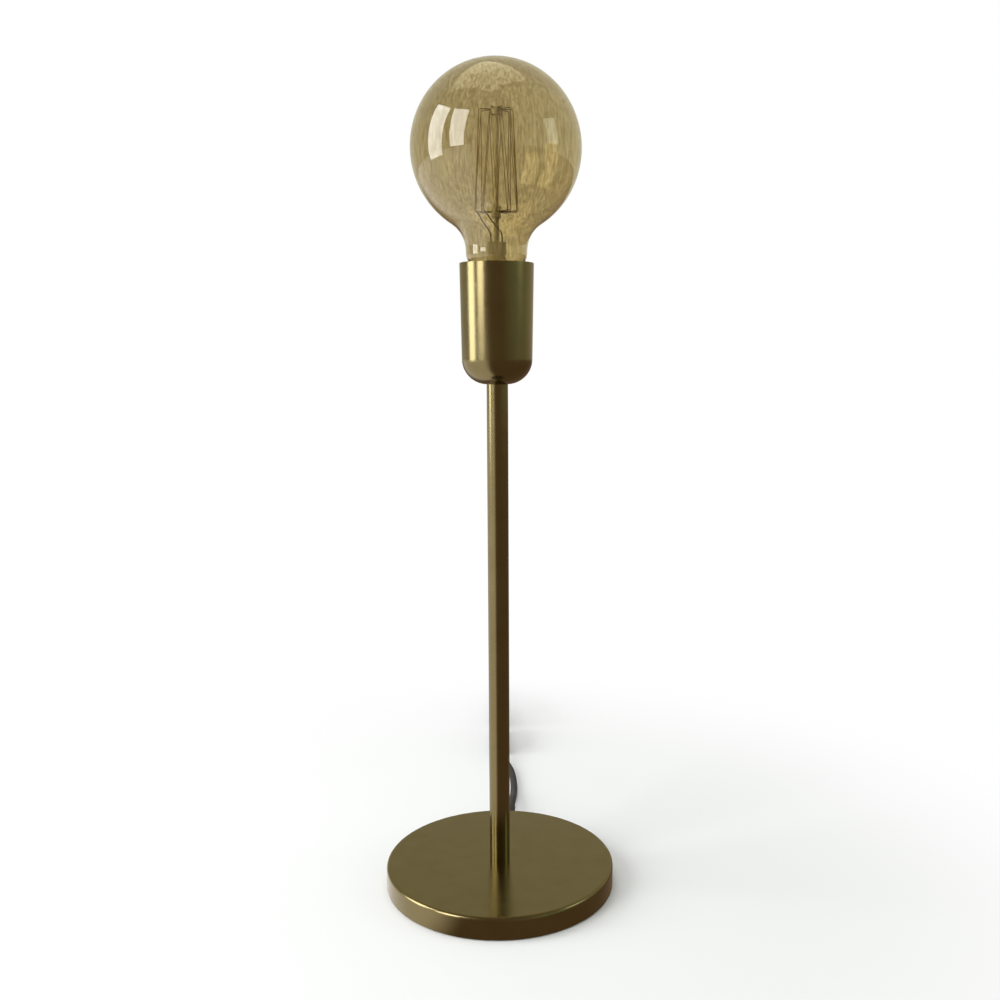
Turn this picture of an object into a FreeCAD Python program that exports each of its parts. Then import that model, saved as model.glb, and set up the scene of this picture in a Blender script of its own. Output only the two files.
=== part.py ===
import FreeCAD, Part
import math
import os
import Sketcher
from FreeCAD import Placement, Rotation, Vector

# Bare bulb table lamp, in millimetres. The origin is on the table under the middle of the
# base, +Z points up and +Y points to the back, where the cord leaves the base.

# ---------------------------------------------------------------- driving dimensions

SIZES = (
    # base
    ("base_diameter", "140"),
    ("base_height", "13.8"),
    ("base_edge_radius", "2"),
    ("cover_wall", "1.2"),
    ("cover_lift", "0.6"),
    ("pad_thickness", "1"),
    ("pad_margin", "3"),
    ("weight_gap", "0.4"),
    ("pocket_diameter", "50"),
    ("pocket_roof", "3"),
    ("exit_angle", "5.4"),
    ("cord_exit_height", "6.6"),
    # stem and the threaded tube that clamps it
    ("stem_diameter", "12.4"),
    ("stem_wall", "1"),
    ("stem_length", "293.3"),
    ("tube_diameter", "9.8"),
    ("tube_bore", "7"),
    ("tube_below_nut", "1"),
    ("tube_above_nut", "6.5"),
    ("nut_flats", "14"),
    ("nut_height", "2.6"),
    ("washer_diameter", "17"),
    ("washer_thickness", "0.8"),
    ("washer_cone", "0.4"),
    ("fit_gap", "0.1"),
    # cup
    ("cup_height", "68.3"),
    ("cup_rim_diameter", "42.4"),
    ("cup_foot_diameter", "40.2"),
    ("cup_wall", "1"),
    ("cup_corner_radius", "14.5"),
    ("cup_rim_rounding", "0.4"),
    # lamp holder
    ("holder_radius", "18"),
    ("holder_wall", "1.6"),
    ("holder_neck_radius", "7.5"),
    ("holder_neck_height", "3"),
    ("holder_floor", "3"),
    ("block_height", "11"),
    ("block_ledge", "1.5"),
    ("block_seat_height", "4"),
    ("contact_space", "3.6"),
    ("barrel_drop", "6"),
    ("barrel_step", "3"),
    ("shell_wall", "0.5"),
    ("shell_drop", "3.4"),
    ("terminal_offset", "8.5"),
    ("terminal_rise", "3.5"),
    ("terminal_screw_radius", "1.5"),
    ("terminal_head_radius", "2.5"),
    ("terminal_head", "1.8"),
    ("terminal_seat", "5"),
    ("core_hole_depth", "6"),
    ("contact_width", "5"),
    ("contact_strip", "0.5"),
    ("contact_gap", "0.3"),
    ("contact_reach", "8"),
    ("side_contact_size", "3"),
    ("side_contact_depth", "1.5"),
    # screw cap of the bulb
    ("cap_radius", "13"),
    ("cap_wall", "0.4"),
    ("cap_drop", "3.9"),
    ("cap_shell_height", "22"),
    ("cap_flare_radius", "14.2"),
    ("cap_flare_height", "2.6"),
    ("cap_contact_radius", "4.8"),
    ("cap_contact_height", "1.4"),
    ("cap_contact_bevel", "1"),
    ("cap_cone_height", "4"),
    ("insulator_edge", "0.6"),
    ("insulator_depth", "2"),
    ("screw_gap", "0.3"),
    # glass of the bulb
    ("bulb_diameter", "95.8"),
    ("bulb_centre_above_rim", "62.1"),
    ("glass_wall", "0.8"),
    ("neck_radius", "17.4"),
    ("neck_flare_radius", "18"),
    ("neck_shoulder_radius", "10"),
    ("neck_shoulder_above_rim", "5.6"),
    ("neck_end_radius", "12.3"),
    ("neck_end_depth", "7"),
    # inside of the bulb
    ("pinch_top_above_rim", "11.6"),
    ("pinch_height", "7"),
    ("pinch_width", "11"),
    ("pinch_depth", "4.6"),
    ("flare_wall", "0.8"),
    ("trumpet_top_radius", "4.4"),
    ("trumpet_radius", "6.2"),
    ("trumpet_above_rim", "0.6"),
    ("exhaust_radius", "2"),
    ("exhaust_wall", "0.7"),
    ("exhaust_length", "26"),
    ("rod_radius", "1.4"),
    ("rod_length", "72.8"),
    ("button_radius", "2.9"),
    ("button_height", "4"),
    ("hub_radius", "2.6"),
    ("hub_height", "6"),
    ("hub_drop", "53"),
    ("hook_wire_radius", "0.25"),
    ("filament_radius", "0.2"),
    ("top_ring_radius", "9.5"),
    ("top_ring_drop", "1"),
    ("low_ring_radius", "12.5"),
    ("strand_pairs", "9"),
    ("seam_angle", "220"),
    ("seam_gap", "30"),
    ("lead_wire_radius", "0.35"),
    ("wire_gap", "0.05"),
    ("lead_spread", "3.2"),
    ("lead_knee_height", "5"),
    # cord, switch and plug
    ("cord_diameter", "5"),
    ("core_radius", "1"),
    ("core_spread", "1.15"),
    ("sheath_past_clamp", "4"),
    ("relief_length", "20"),
    ("relief_radius", "3.4"),
    ("relief_tip_radius", "2.9"),
    ("relief_flange_radius", "5"),
    ("relief_flange", "1.4"),
    ("relief_neck_radius", "4"),
    ("clamp_width", "22"),
    ("clamp_depth", "8"),
    ("clamp_thickness", "1.5"),
    ("clamp_screw_offset", "7.5"),
    ("clamp_screw_radius", "1.5"),
    ("clamp_screw_reach", "4"),
    ("clamp_head_radius", "2.6"),
    ("clamp_head", "1.2"),
    ("clamp_gap", "2"),
    ("switch_start", "202"),
    ("switch_length", "50"),
    ("switch_height", "20"),
    ("switch_thickness", "13"),
    ("switch_wall", "1.4"),
    ("switch_corner", "4"),
    ("rocker_length", "16"),
    ("rocker_height", "8"),
    ("rocker_tilt", "8"),
    ("rocker_proud", "0.6"),
    ("rocker_thickness", "4.6"),
    ("rocker_corner", "1"),
    ("pivot_radius", "0.8"),
    ("pivot_gap", "0.06"),
    ("pin_gap", "0.01"),
    ("pin_reach", "1.5"),
    ("ear_length", "3.6"),
    ("ear_thickness", "1.6"),
    ("ear_gap", "0.3"),
    ("window_gap", "0.5"),
    ("leaf_thickness", "0.8"),
    ("leaf_length", "11"),
    ("leaf_height", "5"),
    ("leaf_gap", "1"),
    ("post_radius", "1.2"),
    ("post_length", "3"),
    ("hank_start", "281"),
    ("hank_run", "81"),
    ("hank_fold_radius", "12"),
    ("hank_pitch", "5.9"),
    ("hank_centre", "1"),
    ("tie_width", "8"),
    ("tie_thickness", "0.6"),
    ("tie_gap", "0.2"),
    ("plug_start", "403"),
    ("plug_length", "21"),
    ("plug_height", "24"),
    ("plug_thickness", "13"),
    ("plug_corner", "3"),
    ("plug_boot_length", "12"),
    ("plug_boot_radius", "4.2"),
    ("plug_boot_tip_radius", "3"),
    ("blade_spacing", "12.7"),
    ("blade_width", "6.35"),
    ("blade_thickness", "1.5"),
    ("blade_length", "16"),
    ("blade_root", "8"),
    ("blade_hole_radius", "1.6"),
    ("blade_hole_distance", "11.7"),
)

doc = FreeCAD.newDocument("bare_bulb_table_lamp")
size = doc.addObject("Spreadsheet::Sheet", "size")
for row, (alias, text) in enumerate(SIZES, start=1):
    size.set(f"A{row}", alias)
    size.set(f"B{row}", text)
    size.setAlias(f"B{row}", alias)
doc.recompute()


def number(expression):
    """The value of an expression over the sheet, in millimetres or degrees."""
    return float(size.evalExpression(expression))


# ---------------------------------------------------------------- heights and radii

BASE_RADIUS = "size.base_diameter / 2"
COVER_ROOF = "(size.base_height - size.cover_wall)"
WEIGHT_RADIUS = "(size.base_diameter / 2 - size.cover_wall - size.weight_gap)"
POCKET_ROOF = f"({COVER_ROOF} - size.pocket_roof)"
CORD_RADIUS = "(size.cord_diameter / 2)"
NUT_TOP = f"({POCKET_ROOF} - size.washer_thickness)"
TUBE_BOTTOM = f"({NUT_TOP} - size.nut_height - size.tube_below_nut)"
TUBE_RADIUS = "(size.tube_diameter / 2)"
TUBE_HOLE = "(size.tube_diameter / 2 + size.fit_gap)"
CUP_FOOT = "(size.base_height + size.stem_length)"
CUP_RIM = f"({CUP_FOOT} + size.cup_height)"
CUP_FLOOR = f"({CUP_FOOT} + size.cup_wall)"
CUP_NUT_TOP = f"({CUP_FLOOR} + size.washer_thickness + size.nut_height)"
TUBE_TOP = f"({CUP_NUT_TOP} + size.tube_above_nut)"
CAP_TOP = f"({CUP_RIM} - size.cap_drop)"
CAP_EDGE = f"({CAP_TOP} - size.cap_shell_height)"
CAP_TIP = f"({CAP_EDGE} - size.cap_cone_height - size.cap_contact_height)"
BLOCK_TOP = f"({CAP_TIP} - size.contact_space)"
BLOCK_BOTTOM = f"({BLOCK_TOP} - size.block_height)"
HOLDER_SHOULDER = f"({BLOCK_BOTTOM} - size.block_seat_height)"
HOLDER_RIM = f"({BLOCK_TOP} - size.barrel_step)"
HOLDER_BORE = "(size.holder_radius - size.holder_wall)"
BLOCK_RADIUS = f"({HOLDER_BORE} - size.fit_gap)"
BARREL_TOP = f"({CUP_RIM} - size.barrel_drop)"
SHELL_BORE = "(size.cap_radius + size.screw_gap)"
SHELL_RADIUS = f"({SHELL_BORE} + size.shell_wall)"
BARREL_BORE = f"({SHELL_RADIUS} + size.fit_gap)"
MOUTH_BORE = "(size.cap_flare_radius + size.screw_gap)"
CAP_BORE = "(size.cap_radius - size.cap_wall)"
BULB_RADIUS = "(size.bulb_diameter / 2)"
BULB_CENTRE = f"({CUP_RIM} + size.bulb_centre_above_rim)"
PINCH_TOP = f"({CUP_RIM} + size.pinch_top_above_rim)"
PINCH_BOTTOM = f"({PINCH_TOP} - size.pinch_height)"
NECK_END = f"({CUP_RIM} - size.neck_end_depth)"
ROD_TOP = f"({PINCH_TOP} + size.rod_length)"
HUB_BOTTOM = f"({ROD_TOP} - size.hub_drop - size.hub_height)"
HUB_TOP = f"({ROD_TOP} - size.hub_drop)"


# ---------------------------------------------------------------- making things

def place(item, x="0", y="0", z="0"):
    """Bind an item's position to the sheet."""
    for axis, expression in zip("xyz", (x, y, z)):
        item.setExpression(f"Placement.Base.{axis}", expression)
    return item


def upright(name, radius, height, x="0", y="0", z="0"):
    """A cylinder that stands on height z."""
    item = doc.addObject("Part::Cylinder", name)
    item.setExpression("Radius", radius)
    item.setExpression("Height", height)
    return place(item, x, y, z)


def lying(name, radius, length, x="0", y="0", z="0"):
    """A cylinder along +Y that starts at y."""
    item = doc.addObject("Part::Cylinder", name)
    item.setExpression("Radius", radius)
    item.setExpression("Height", length)
    item.Placement = Placement(Vector(), Rotation(Vector(1, 0, 0), -90))
    return place(item, x, y, z)


def block(name, width, depth, height, x="0", y="0", z="0"):
    """A box centred on x that starts at y and z."""
    item = doc.addObject("Part::Box", name)
    item.setExpression("Length", width)
    item.setExpression("Width", depth)
    item.setExpression("Height", height)
    return place(item, f"{x} - ({width}) / 2", y, z)


def lying_cone(name, near_radius, far_radius, length, x="0", y="0", z="0"):
    """A cone along +Y that starts at y."""
    item = doc.addObject("Part::Cone", name)
    item.setExpression("Radius1", near_radius)
    item.setExpression("Radius2", far_radius)
    item.setExpression("Height", length)
    item.Placement = Placement(Vector(), Rotation(Vector(1, 0, 0), -90))
    return place(item, x, y, z)


def less(name, whole, *tools):
    """The whole with every tool cut away."""
    for index, tool in enumerate(tools, start=1):
        step = doc.addObject("Part::Cut", name if index == len(tools) else f"{name}_step_{index}")
        step.Base = whole
        step.Tool = tool
        whole = step
    return whole


def joined(name, *items):
    """One solid made of several."""
    fuse = doc.addObject("Part::MultiFuse", name)
    fuse.Shapes = list(items)
    return fuse


def group(name, *items):
    """Separate solids that share one name."""
    compound = doc.addObject("Part::Compound", name)
    compound.Links = list(items)
    return compound


def softened(name, item, radius, axis):
    """Round the straight edges of an item that run along an axis."""
    doc.recompute()
    width = number(radius)
    fillet = doc.addObject("Part::Fillet", name)
    fillet.Base = item
    fillet.Edges = [
        (index, width, width)
        for index, edge in enumerate(item.Shape.Edges, start=1)
        if edge.Curve.TypeId == "Part::GeomLine" and abs(edge.tangentAt(0).dot(axis)) > 0.999
    ]
    return fillet


def turned(name, item):
    """An item that was made along +Y, turned with the cord's exit."""
    swung = group(name, item)
    swung.setExpression("Placement.Rotation.Angle", "-size.exit_angle")
    return swung


def ring(name, radius, bore, height, z):
    """A flat ring."""
    outer = upright(f"{name}_outer", radius, height, z=z)
    inner = upright(f"{name}_bore", bore, height, z=z)
    return less(name, outer, inner)


def hex_nut(name, z):
    """A hexagon nut round the threaded tube, with bevelled corners."""
    prism = doc.addObject("Part::Prism", f"{name}_prism")
    prism.Polygon = 6
    prism.setExpression("Circumradius", "size.nut_flats / sqrt(3)")
    prism.setExpression("Height", "size.nut_height")
    place(prism, z=z)
    bevel = doc.addObject("Part::Sphere", f"{name}_bevel")
    bevel.setExpression("Radius", "size.nut_flats * 0.58")
    place(bevel, z=f"{z} + size.nut_height / 2")
    crown = doc.addObject("Part::MultiCommon", f"{name}_crown")
    crown.Shapes = [prism, bevel]
    return less(name, crown, upright(f"{name}_bore", TUBE_HOLE, "size.nut_height", z=z))


def origin_plane(body, role):
    """The body's own origin plane of that role."""
    return next(item for item in body.Origin.OriginFeatures if item.Role == role)


def outline(body, name, corners):
    """A sketch on the body's XZ plane through (radius, height) corners bound to the sheet."""
    sketch = body.newObject("Sketcher::SketchObject", name)
    sketch.AttachmentSupport = [(origin_plane(body, "XZ_Plane"), "")]
    sketch.MapMode = "FlatFace"
    points = [Vector(number(x), number(y), 0) for x, y in corners]
    sketch.addGeometry([Part.LineSegment(a, b) for a, b in zip(points, points[1:] + points[:1])])
    for index, corner in enumerate(corners):
        before = (index - 1) % len(corners)
        sketch.addConstraint(Sketcher.Constraint("Coincident", index, 1, before, 2))
        for kind, axis, expression in zip(("DistanceX", "DistanceY"), (-2, -1), corner):
            if expression == "0":
                sketch.addConstraint(Sketcher.Constraint("PointOnObject", index, 1, axis))
                continue
            value = number(expression)
            bound = sketch.addConstraint(Sketcher.Constraint(kind, -1, 1, index, 1, value))
            sketch.setExpression(f"Constraints[{bound}]", expression)
    return sketch


def revolved(name, corners):
    """A body turned about Z from an outline."""
    body = doc.addObject("PartDesign::Body", name)
    turn = body.newObject("PartDesign::Revolution", f"{name}_turn")
    sketch = outline(body, f"{name}_outline", corners)
    turn.Profile = sketch
    turn.ReferenceAxis = (sketch, ["V_Axis"])
    turn.Angle = 360
    sketch.Visibility = False
    body.Tip = turn
    doc.recompute()
    return body


def rounded(body, name, radius, *circles):
    """Round the circular edges of a body that have the given (radius, height)."""
    names = []
    sharp = body.Tip
    for index, edge in enumerate(sharp.Shape.Edges, start=1):
        curve = edge.Curve
        if not isinstance(curve, Part.Circle):
            continue
        for circle_radius, height in circles:
            near = abs(curve.Radius - number(circle_radius)) < 0.001
            if near and abs(curve.Center.z - number(height)) < 0.001:
                names.append(f"Edge{index}")
    fillet = body.newObject("PartDesign::Fillet", name)
    fillet.Base = (sharp, names)
    fillet.setExpression("Radius", radius)
    body.Tip = fillet
    doc.recompute()
    return body


def feature(name, shape):
    """A sub-part whose shape is worked out here from the sheet's values."""
    item = doc.addObject("Part::Feature", name)
    item.Shape = shape
    return item


def route_path(points):
    """Straight runs joined by tangent arcs through a route's corners, and the arcs' radii."""
    edges, radii, start = [], [], points[0]
    for before, corner, after in zip(points, points[1:], points[2:]):
        back, ahead = before - corner, after - corner
        half_turn = (math.pi - back.getAngle(ahead)) / 2
        reach = 0.45 * min(back.Length, ahead.Length)
        radius = reach / math.tan(half_turn)
        back.normalize()
        ahead.normalize()
        entry, leave = corner + back * reach, corner + ahead * reach
        inward = back + ahead
        inward.normalize()
        middle = corner + inward * (radius / math.cos(half_turn) - radius)
        edges.append(Part.LineSegment(start, entry).toShape())
        edges.append(Part.Arc(entry, middle, leave).toShape())
        radii.append(radius)
        start = leave
    edges.append(Part.LineSegment(start, points[-1]).toShape())
    return Part.Wire(edges), radii


def swept(path, radius):
    """A round tube along a path."""
    start = path.Edges[0]
    tangent = start.tangentAt(start.FirstParameter)
    section = Part.Wire(Part.makeCircle(radius, start.valueAt(start.FirstParameter), tangent))
    solid = path.makePipeShell([section], True, False)
    if solid.Volume < 0:
        solid.reverse()
    return solid


def wire(name, radius, points):
    """A round wire through hand-chosen corners."""
    path, radii = route_path([Vector(*point) for point in points])
    tube = swept(path, radius)
    share = tube.Volume / (math.pi * radius * radius * path.Length)
    print(f"{name}: length {path.Length:.1f}, least bend {min(radii):.1f}, share {share:.4f}")
    return tube


# ---------------------------------------------------------------- base

cover_body = revolved("cover_body", (
    (f"{BASE_RADIUS} - size.cover_wall", "size.cover_lift"),
    (BASE_RADIUS, "size.cover_lift"),
    (BASE_RADIUS, "size.base_height"),
    (TUBE_HOLE, "size.base_height"),
    (TUBE_HOLE, COVER_ROOF),
    (f"{BASE_RADIUS} - size.cover_wall", COVER_ROOF),
))
rounded(cover_body, "cover_edge", "size.base_edge_radius", (BASE_RADIUS, "size.base_height"))
rounded(
    cover_body, "cover_inner_edge", "size.base_edge_radius - size.cover_wall",
    (f"{BASE_RADIUS} - size.cover_wall", COVER_ROOF),
)
exit_hole = lying(
    "cover_exit_bore", "size.relief_neck_radius", "size.base_diameter / 2",
    y="size.base_diameter / 4", z="size.cord_exit_height",
)
base_cover = less("base_cover", cover_body, turned("cover_exit", exit_hole))

WEIGHT_EDGE = "(size.base_edge_radius - size.cover_wall + size.weight_gap)"
weight_body = revolved("weight_body", (
    (TUBE_HOLE, "size.pad_thickness"),
    (WEIGHT_RADIUS, "size.pad_thickness"),
    (WEIGHT_RADIUS, f"{COVER_ROOF} - {WEIGHT_EDGE}"),
    (f"{WEIGHT_RADIUS} - {WEIGHT_EDGE}", COVER_ROOF),
    (TUBE_HOLE, COVER_ROOF),
))
nut_pocket = upright(
    "weight_pocket", "size.pocket_diameter / 2", f"{POCKET_ROOF} - size.pad_thickness",
    z="size.pad_thickness",
)
cord_channel = block(
    "weight_channel", "size.cord_diameter + 2 * size.fit_gap", WEIGHT_RADIUS,
    f"size.cord_exit_height + {CORD_RADIUS} - size.pad_thickness", z="size.pad_thickness",
)
CLAMP_START = "(size.pocket_diameter / 2 + size.clamp_gap)"
CLAMP_MIDDLE = f"({CLAMP_START} + size.clamp_depth / 2)"
CLAMP_TOP = f"(size.cord_exit_height - {CORD_RADIUS})"
clamp_recess = block(
    "weight_clamp_recess", "size.clamp_width + size.clamp_gap", "size.clamp_depth + size.clamp_gap",
    f"{CLAMP_TOP} - size.pad_thickness", y=f"{CLAMP_START} - size.clamp_gap / 2",
    z="size.pad_thickness",
)
FLANGE_ROOM = "(size.relief_flange_radius + size.weight_gap)"
flange_notch = block(
    "weight_flange_notch", f"2 * {FLANGE_ROOM}", "2 * size.relief_flange",
    f"size.cord_exit_height + {FLANGE_ROOM} - size.pad_thickness",
    y=f"{WEIGHT_RADIUS} - 1.5 * size.relief_flange", z="size.pad_thickness",
)
SCREW_TOP = f"({CLAMP_TOP} + size.clamp_screw_reach)"
screw_holes = [
    upright(
        f"weight_screw_hole_{side}", "size.clamp_screw_radius", f"{SCREW_TOP} - {CLAMP_TOP}",
        f"{sign}size.clamp_screw_offset", CLAMP_MIDDLE, CLAMP_TOP,
    )
    for side, sign in (("left", "-"), ("right", ""))
]
weight_tools = joined("weight_tools", cord_channel, clamp_recess, flange_notch, *screw_holes)
base_weight = less("base_weight", weight_body, nut_pocket, turned("weight_exit", weight_tools))

base_pad = upright("base_pad", f"{WEIGHT_RADIUS} - size.pad_margin", "size.pad_thickness")
base_washer = ring(
    "base_washer", "size.washer_diameter / 2", TUBE_HOLE, "size.washer_thickness", NUT_TOP,
)
base_nut = hex_nut("base_nut", f"({NUT_TOP} - size.nut_height)")

clamp_bar = block(
    "clamp_bar", "size.clamp_width", "size.clamp_depth", "size.clamp_thickness",
    y=CLAMP_START, z=f"{CLAMP_TOP} - size.clamp_thickness",
)
clamp_holes = [
    upright(
        f"clamp_hole_{side}", "size.clamp_screw_radius + size.fit_gap", "size.clamp_thickness",
        f"{sign}size.clamp_screw_offset", CLAMP_MIDDLE, f"{CLAMP_TOP} - size.clamp_thickness",
    )
    for side, sign in (("left", "-"), ("right", ""))
]
cord_clamp = turned("cord_clamp", less("clamp_plate", clamp_bar, *clamp_holes))
SCREW_HEAD = f"({CLAMP_TOP} - size.clamp_thickness - size.clamp_head)"
clamp_screw_solids = [
    joined(
        f"clamp_screw_{side}",
        upright(
            f"clamp_screw_head_{side}", "size.clamp_head_radius", "size.clamp_head",
            f"{sign}size.clamp_screw_offset", CLAMP_MIDDLE, SCREW_HEAD,
        ),
        upright(
            f"clamp_screw_shank_{side}", "size.clamp_screw_radius", f"{SCREW_TOP} - {SCREW_HEAD}",
            f"{sign}size.clamp_screw_offset", CLAMP_MIDDLE, SCREW_HEAD,
        ),
    )
    for side, sign in (("left", "-"), ("right", ""))
]
clamp_screws = turned("clamp_screws", group("clamp_screw_pair", *clamp_screw_solids))

# ---------------------------------------------------------------- stem and cup

threaded_tube = ring(
    "threaded_tube", TUBE_RADIUS, "size.tube_bore / 2", f"{TUBE_TOP} - {TUBE_BOTTOM}", TUBE_BOTTOM,
)
stem_tube = ring(
    "stem_tube", "size.stem_diameter / 2", "size.stem_diameter / 2 - size.stem_wall",
    "size.stem_length", "size.base_height",
)
cup = revolved("cup", (
    (TUBE_HOLE, CUP_FOOT),
    ("size.cup_foot_diameter / 2", CUP_FOOT),
    ("size.cup_rim_diameter / 2", CUP_RIM),
    ("size.cup_rim_diameter / 2 - size.cup_wall", CUP_RIM),
    ("size.cup_foot_diameter / 2 - size.cup_wall", CUP_FLOOR),
    (TUBE_HOLE, CUP_FLOOR),
))
rounded(cup, "cup_corner", "size.cup_corner_radius", ("size.cup_foot_diameter / 2", CUP_FOOT))
rounded(
    cup, "cup_inner_corner", "size.cup_corner_radius - size.cup_wall",
    ("size.cup_foot_diameter / 2 - size.cup_wall", CUP_FLOOR),
)
rounded(
    cup, "cup_rim", "size.cup_rim_rounding",
    ("size.cup_rim_diameter / 2", CUP_RIM),
    ("size.cup_rim_diameter / 2 - size.cup_wall", CUP_RIM),
)
CUP_FLAT = "(size.cup_foot_diameter / 2 - size.cup_corner_radius)"
cup_washer = revolved("cup_washer", (
    (TUBE_HOLE, CUP_FLOOR),
    (CUP_FLAT, CUP_FLOOR),
    ("size.washer_diameter / 2", f"{CUP_FLOOR} + size.washer_cone"),
    ("size.washer_diameter / 2", f"{CUP_FLOOR} + size.washer_thickness"),
    (TUBE_HOLE, f"{CUP_FLOOR} + size.washer_thickness"),
))
cup_nut = hex_nut("cup_nut", f"({CUP_FLOOR} + size.washer_thickness)")

# ---------------------------------------------------------------- lamp holder

CONE_START = f"({CUP_NUT_TOP} + size.holder_neck_height)"
holder_base = revolved("holder_base", (
    (TUBE_HOLE, CUP_NUT_TOP),
    ("size.holder_neck_radius", CUP_NUT_TOP),
    ("size.holder_neck_radius", CONE_START),
    ("size.holder_radius", HOLDER_SHOULDER),
    ("size.holder_radius", HOLDER_RIM),
    (HOLDER_BORE, HOLDER_RIM),
    (HOLDER_BORE, BLOCK_BOTTOM),
    (f"{HOLDER_BORE} - size.block_ledge", BLOCK_BOTTOM),
    (f"{HOLDER_BORE} - size.block_ledge", HOLDER_SHOULDER),
    ("size.holder_neck_radius", f"{CONE_START} + size.holder_floor"),
    (TUBE_HOLE, f"{CONE_START} + size.holder_floor"),
))
block_body = upright("block_body", BLOCK_RADIUS, "size.block_height", z=BLOCK_BOTTOM)
TERMINAL_HEIGHT = f"({BLOCK_BOTTOM} + size.terminal_rise)"
CORE_HOLE = "(size.core_radius + size.fit_gap)"
RECESS_RADIUS = "(size.terminal_head_radius + size.fit_gap)"
block_tools = []
screw_solids = []
for side, sign in (("left", "-"), ("right", "")):
    terminal_x = f"{sign}size.terminal_offset"
    block_tools += [
        upright(f"core_hole_{side}", CORE_HOLE, "size.core_hole_depth", x=terminal_x, z=BLOCK_BOTTOM),
        lying(
            f"screw_bore_{side}", "size.terminal_screw_radius", "size.terminal_seat",
            x=terminal_x, z=TERMINAL_HEIGHT,
        ),
        lying(
            f"screw_recess_{side}", RECESS_RADIUS, BLOCK_RADIUS,
            x=terminal_x, y="size.terminal_seat", z=TERMINAL_HEIGHT,
        ),
    ]
    screw_solids.append(joined(
        f"terminal_screw_{side}",
        lying(
            f"terminal_shank_{side}", "size.terminal_screw_radius",
            "size.terminal_seat + size.terminal_head - size.core_radius",
            x=terminal_x, y="size.core_radius", z=TERMINAL_HEIGHT,
        ),
        lying(
            f"terminal_head_{side}", "size.terminal_head_radius", "size.terminal_head",
            x=terminal_x, y="size.terminal_seat", z=TERMINAL_HEIGHT,
        ),
    ))
terminal_block = less("terminal_block", block_body, joined("block_tools", *block_tools))
terminal_screws = group("terminal_screws", *screw_solids)

holder_barrel = revolved("holder_barrel", (
    (HOLDER_BORE, HOLDER_RIM),
    ("size.holder_radius", HOLDER_RIM),
    ("size.holder_radius", BARREL_TOP),
    (MOUTH_BORE, BARREL_TOP),
    (MOUTH_BORE, f"{BARREL_TOP} - size.shell_drop"),
    (BARREL_BORE, f"{BARREL_TOP} - size.shell_drop"),
    (BARREL_BORE, BLOCK_TOP),
    (HOLDER_BORE, BLOCK_TOP),
))
thread_shell = ring(
    "thread_shell", SHELL_RADIUS, SHELL_BORE, f"{BARREL_TOP} - size.shell_drop - {BLOCK_TOP}",
    BLOCK_TOP,
)
doc.recompute()


def contact_spring():
    """The bent strip that presses on the bulb's centre contact: a foot, a ramp and a crest."""
    low = number(BLOCK_TOP)
    crest = number(f"{CAP_TIP} - size.contact_gap")
    strip = number("size.contact_strip")
    width = number("size.contact_width")
    reach = number("size.contact_reach")
    under = [(-reach, low), (-4, low), (-1.5, crest - strip), (1.5, crest - strip), (3, crest - 1.6)]
    over = [(3.5, crest - 1.1), (1.8, crest), (-1.8, crest), (-4.3, low + strip), (-reach, low + strip)]
    loop = [Vector(x, -width / 2, z) for x, z in under + over]
    return Part.Face(Part.makePolygon(loop + loop[:1])).extrude(Vector(0, width, 0))


centre_contact = feature("centre_contact", contact_spring())
side_contact = block(
    "side_contact", "size.side_contact_size", "size.side_contact_depth", "size.side_contact_size",
    y=f"{SHELL_BORE} - size.side_contact_depth - size.fit_gap", z=BLOCK_TOP,
)

# ---------------------------------------------------------------- screw cap of the bulb

bulb_cap = revolved("bulb_cap", (
    (CAP_BORE, CAP_EDGE),
    ("size.cap_radius", CAP_EDGE),
    ("size.cap_radius", f"{CAP_TOP} - size.cap_flare_height"),
    ("size.cap_flare_radius", CAP_TOP),
    ("size.cap_flare_radius - size.cap_wall", CAP_TOP),
    (CAP_BORE, f"{CAP_TOP} - size.cap_flare_height"),
))
cap_insulator = revolved("cap_insulator", (
    ("0", f"{CAP_TIP} + size.cap_contact_height"),
    ("size.cap_contact_radius", f"{CAP_TIP} + size.cap_contact_height"),
    (f"{CAP_BORE} - size.fit_gap", f"{CAP_EDGE} - size.insulator_edge"),
    (f"{CAP_BORE} - size.fit_gap", f"{CAP_EDGE} + size.insulator_depth"),
    ("0", f"{CAP_EDGE} + size.insulator_depth"),
))
cap_contact = revolved("cap_contact", (
    ("0", CAP_TIP),
    ("size.cap_contact_radius - size.cap_contact_bevel", CAP_TIP),
    ("size.cap_contact_radius", f"{CAP_TIP} + size.cap_contact_bevel"),
    ("size.cap_contact_radius", f"{CAP_TIP} + size.cap_contact_height"),
    ("0", f"{CAP_TIP} + size.cap_contact_height"),
))

# ---------------------------------------------------------------- glass and filament


def turned_solid(edges):
    """A closed outline in the XZ plane turned about Z."""
    return Part.Face(Part.Wire(edges)).revolve(Vector(), Vector(0, 0, 1), 360)


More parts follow.
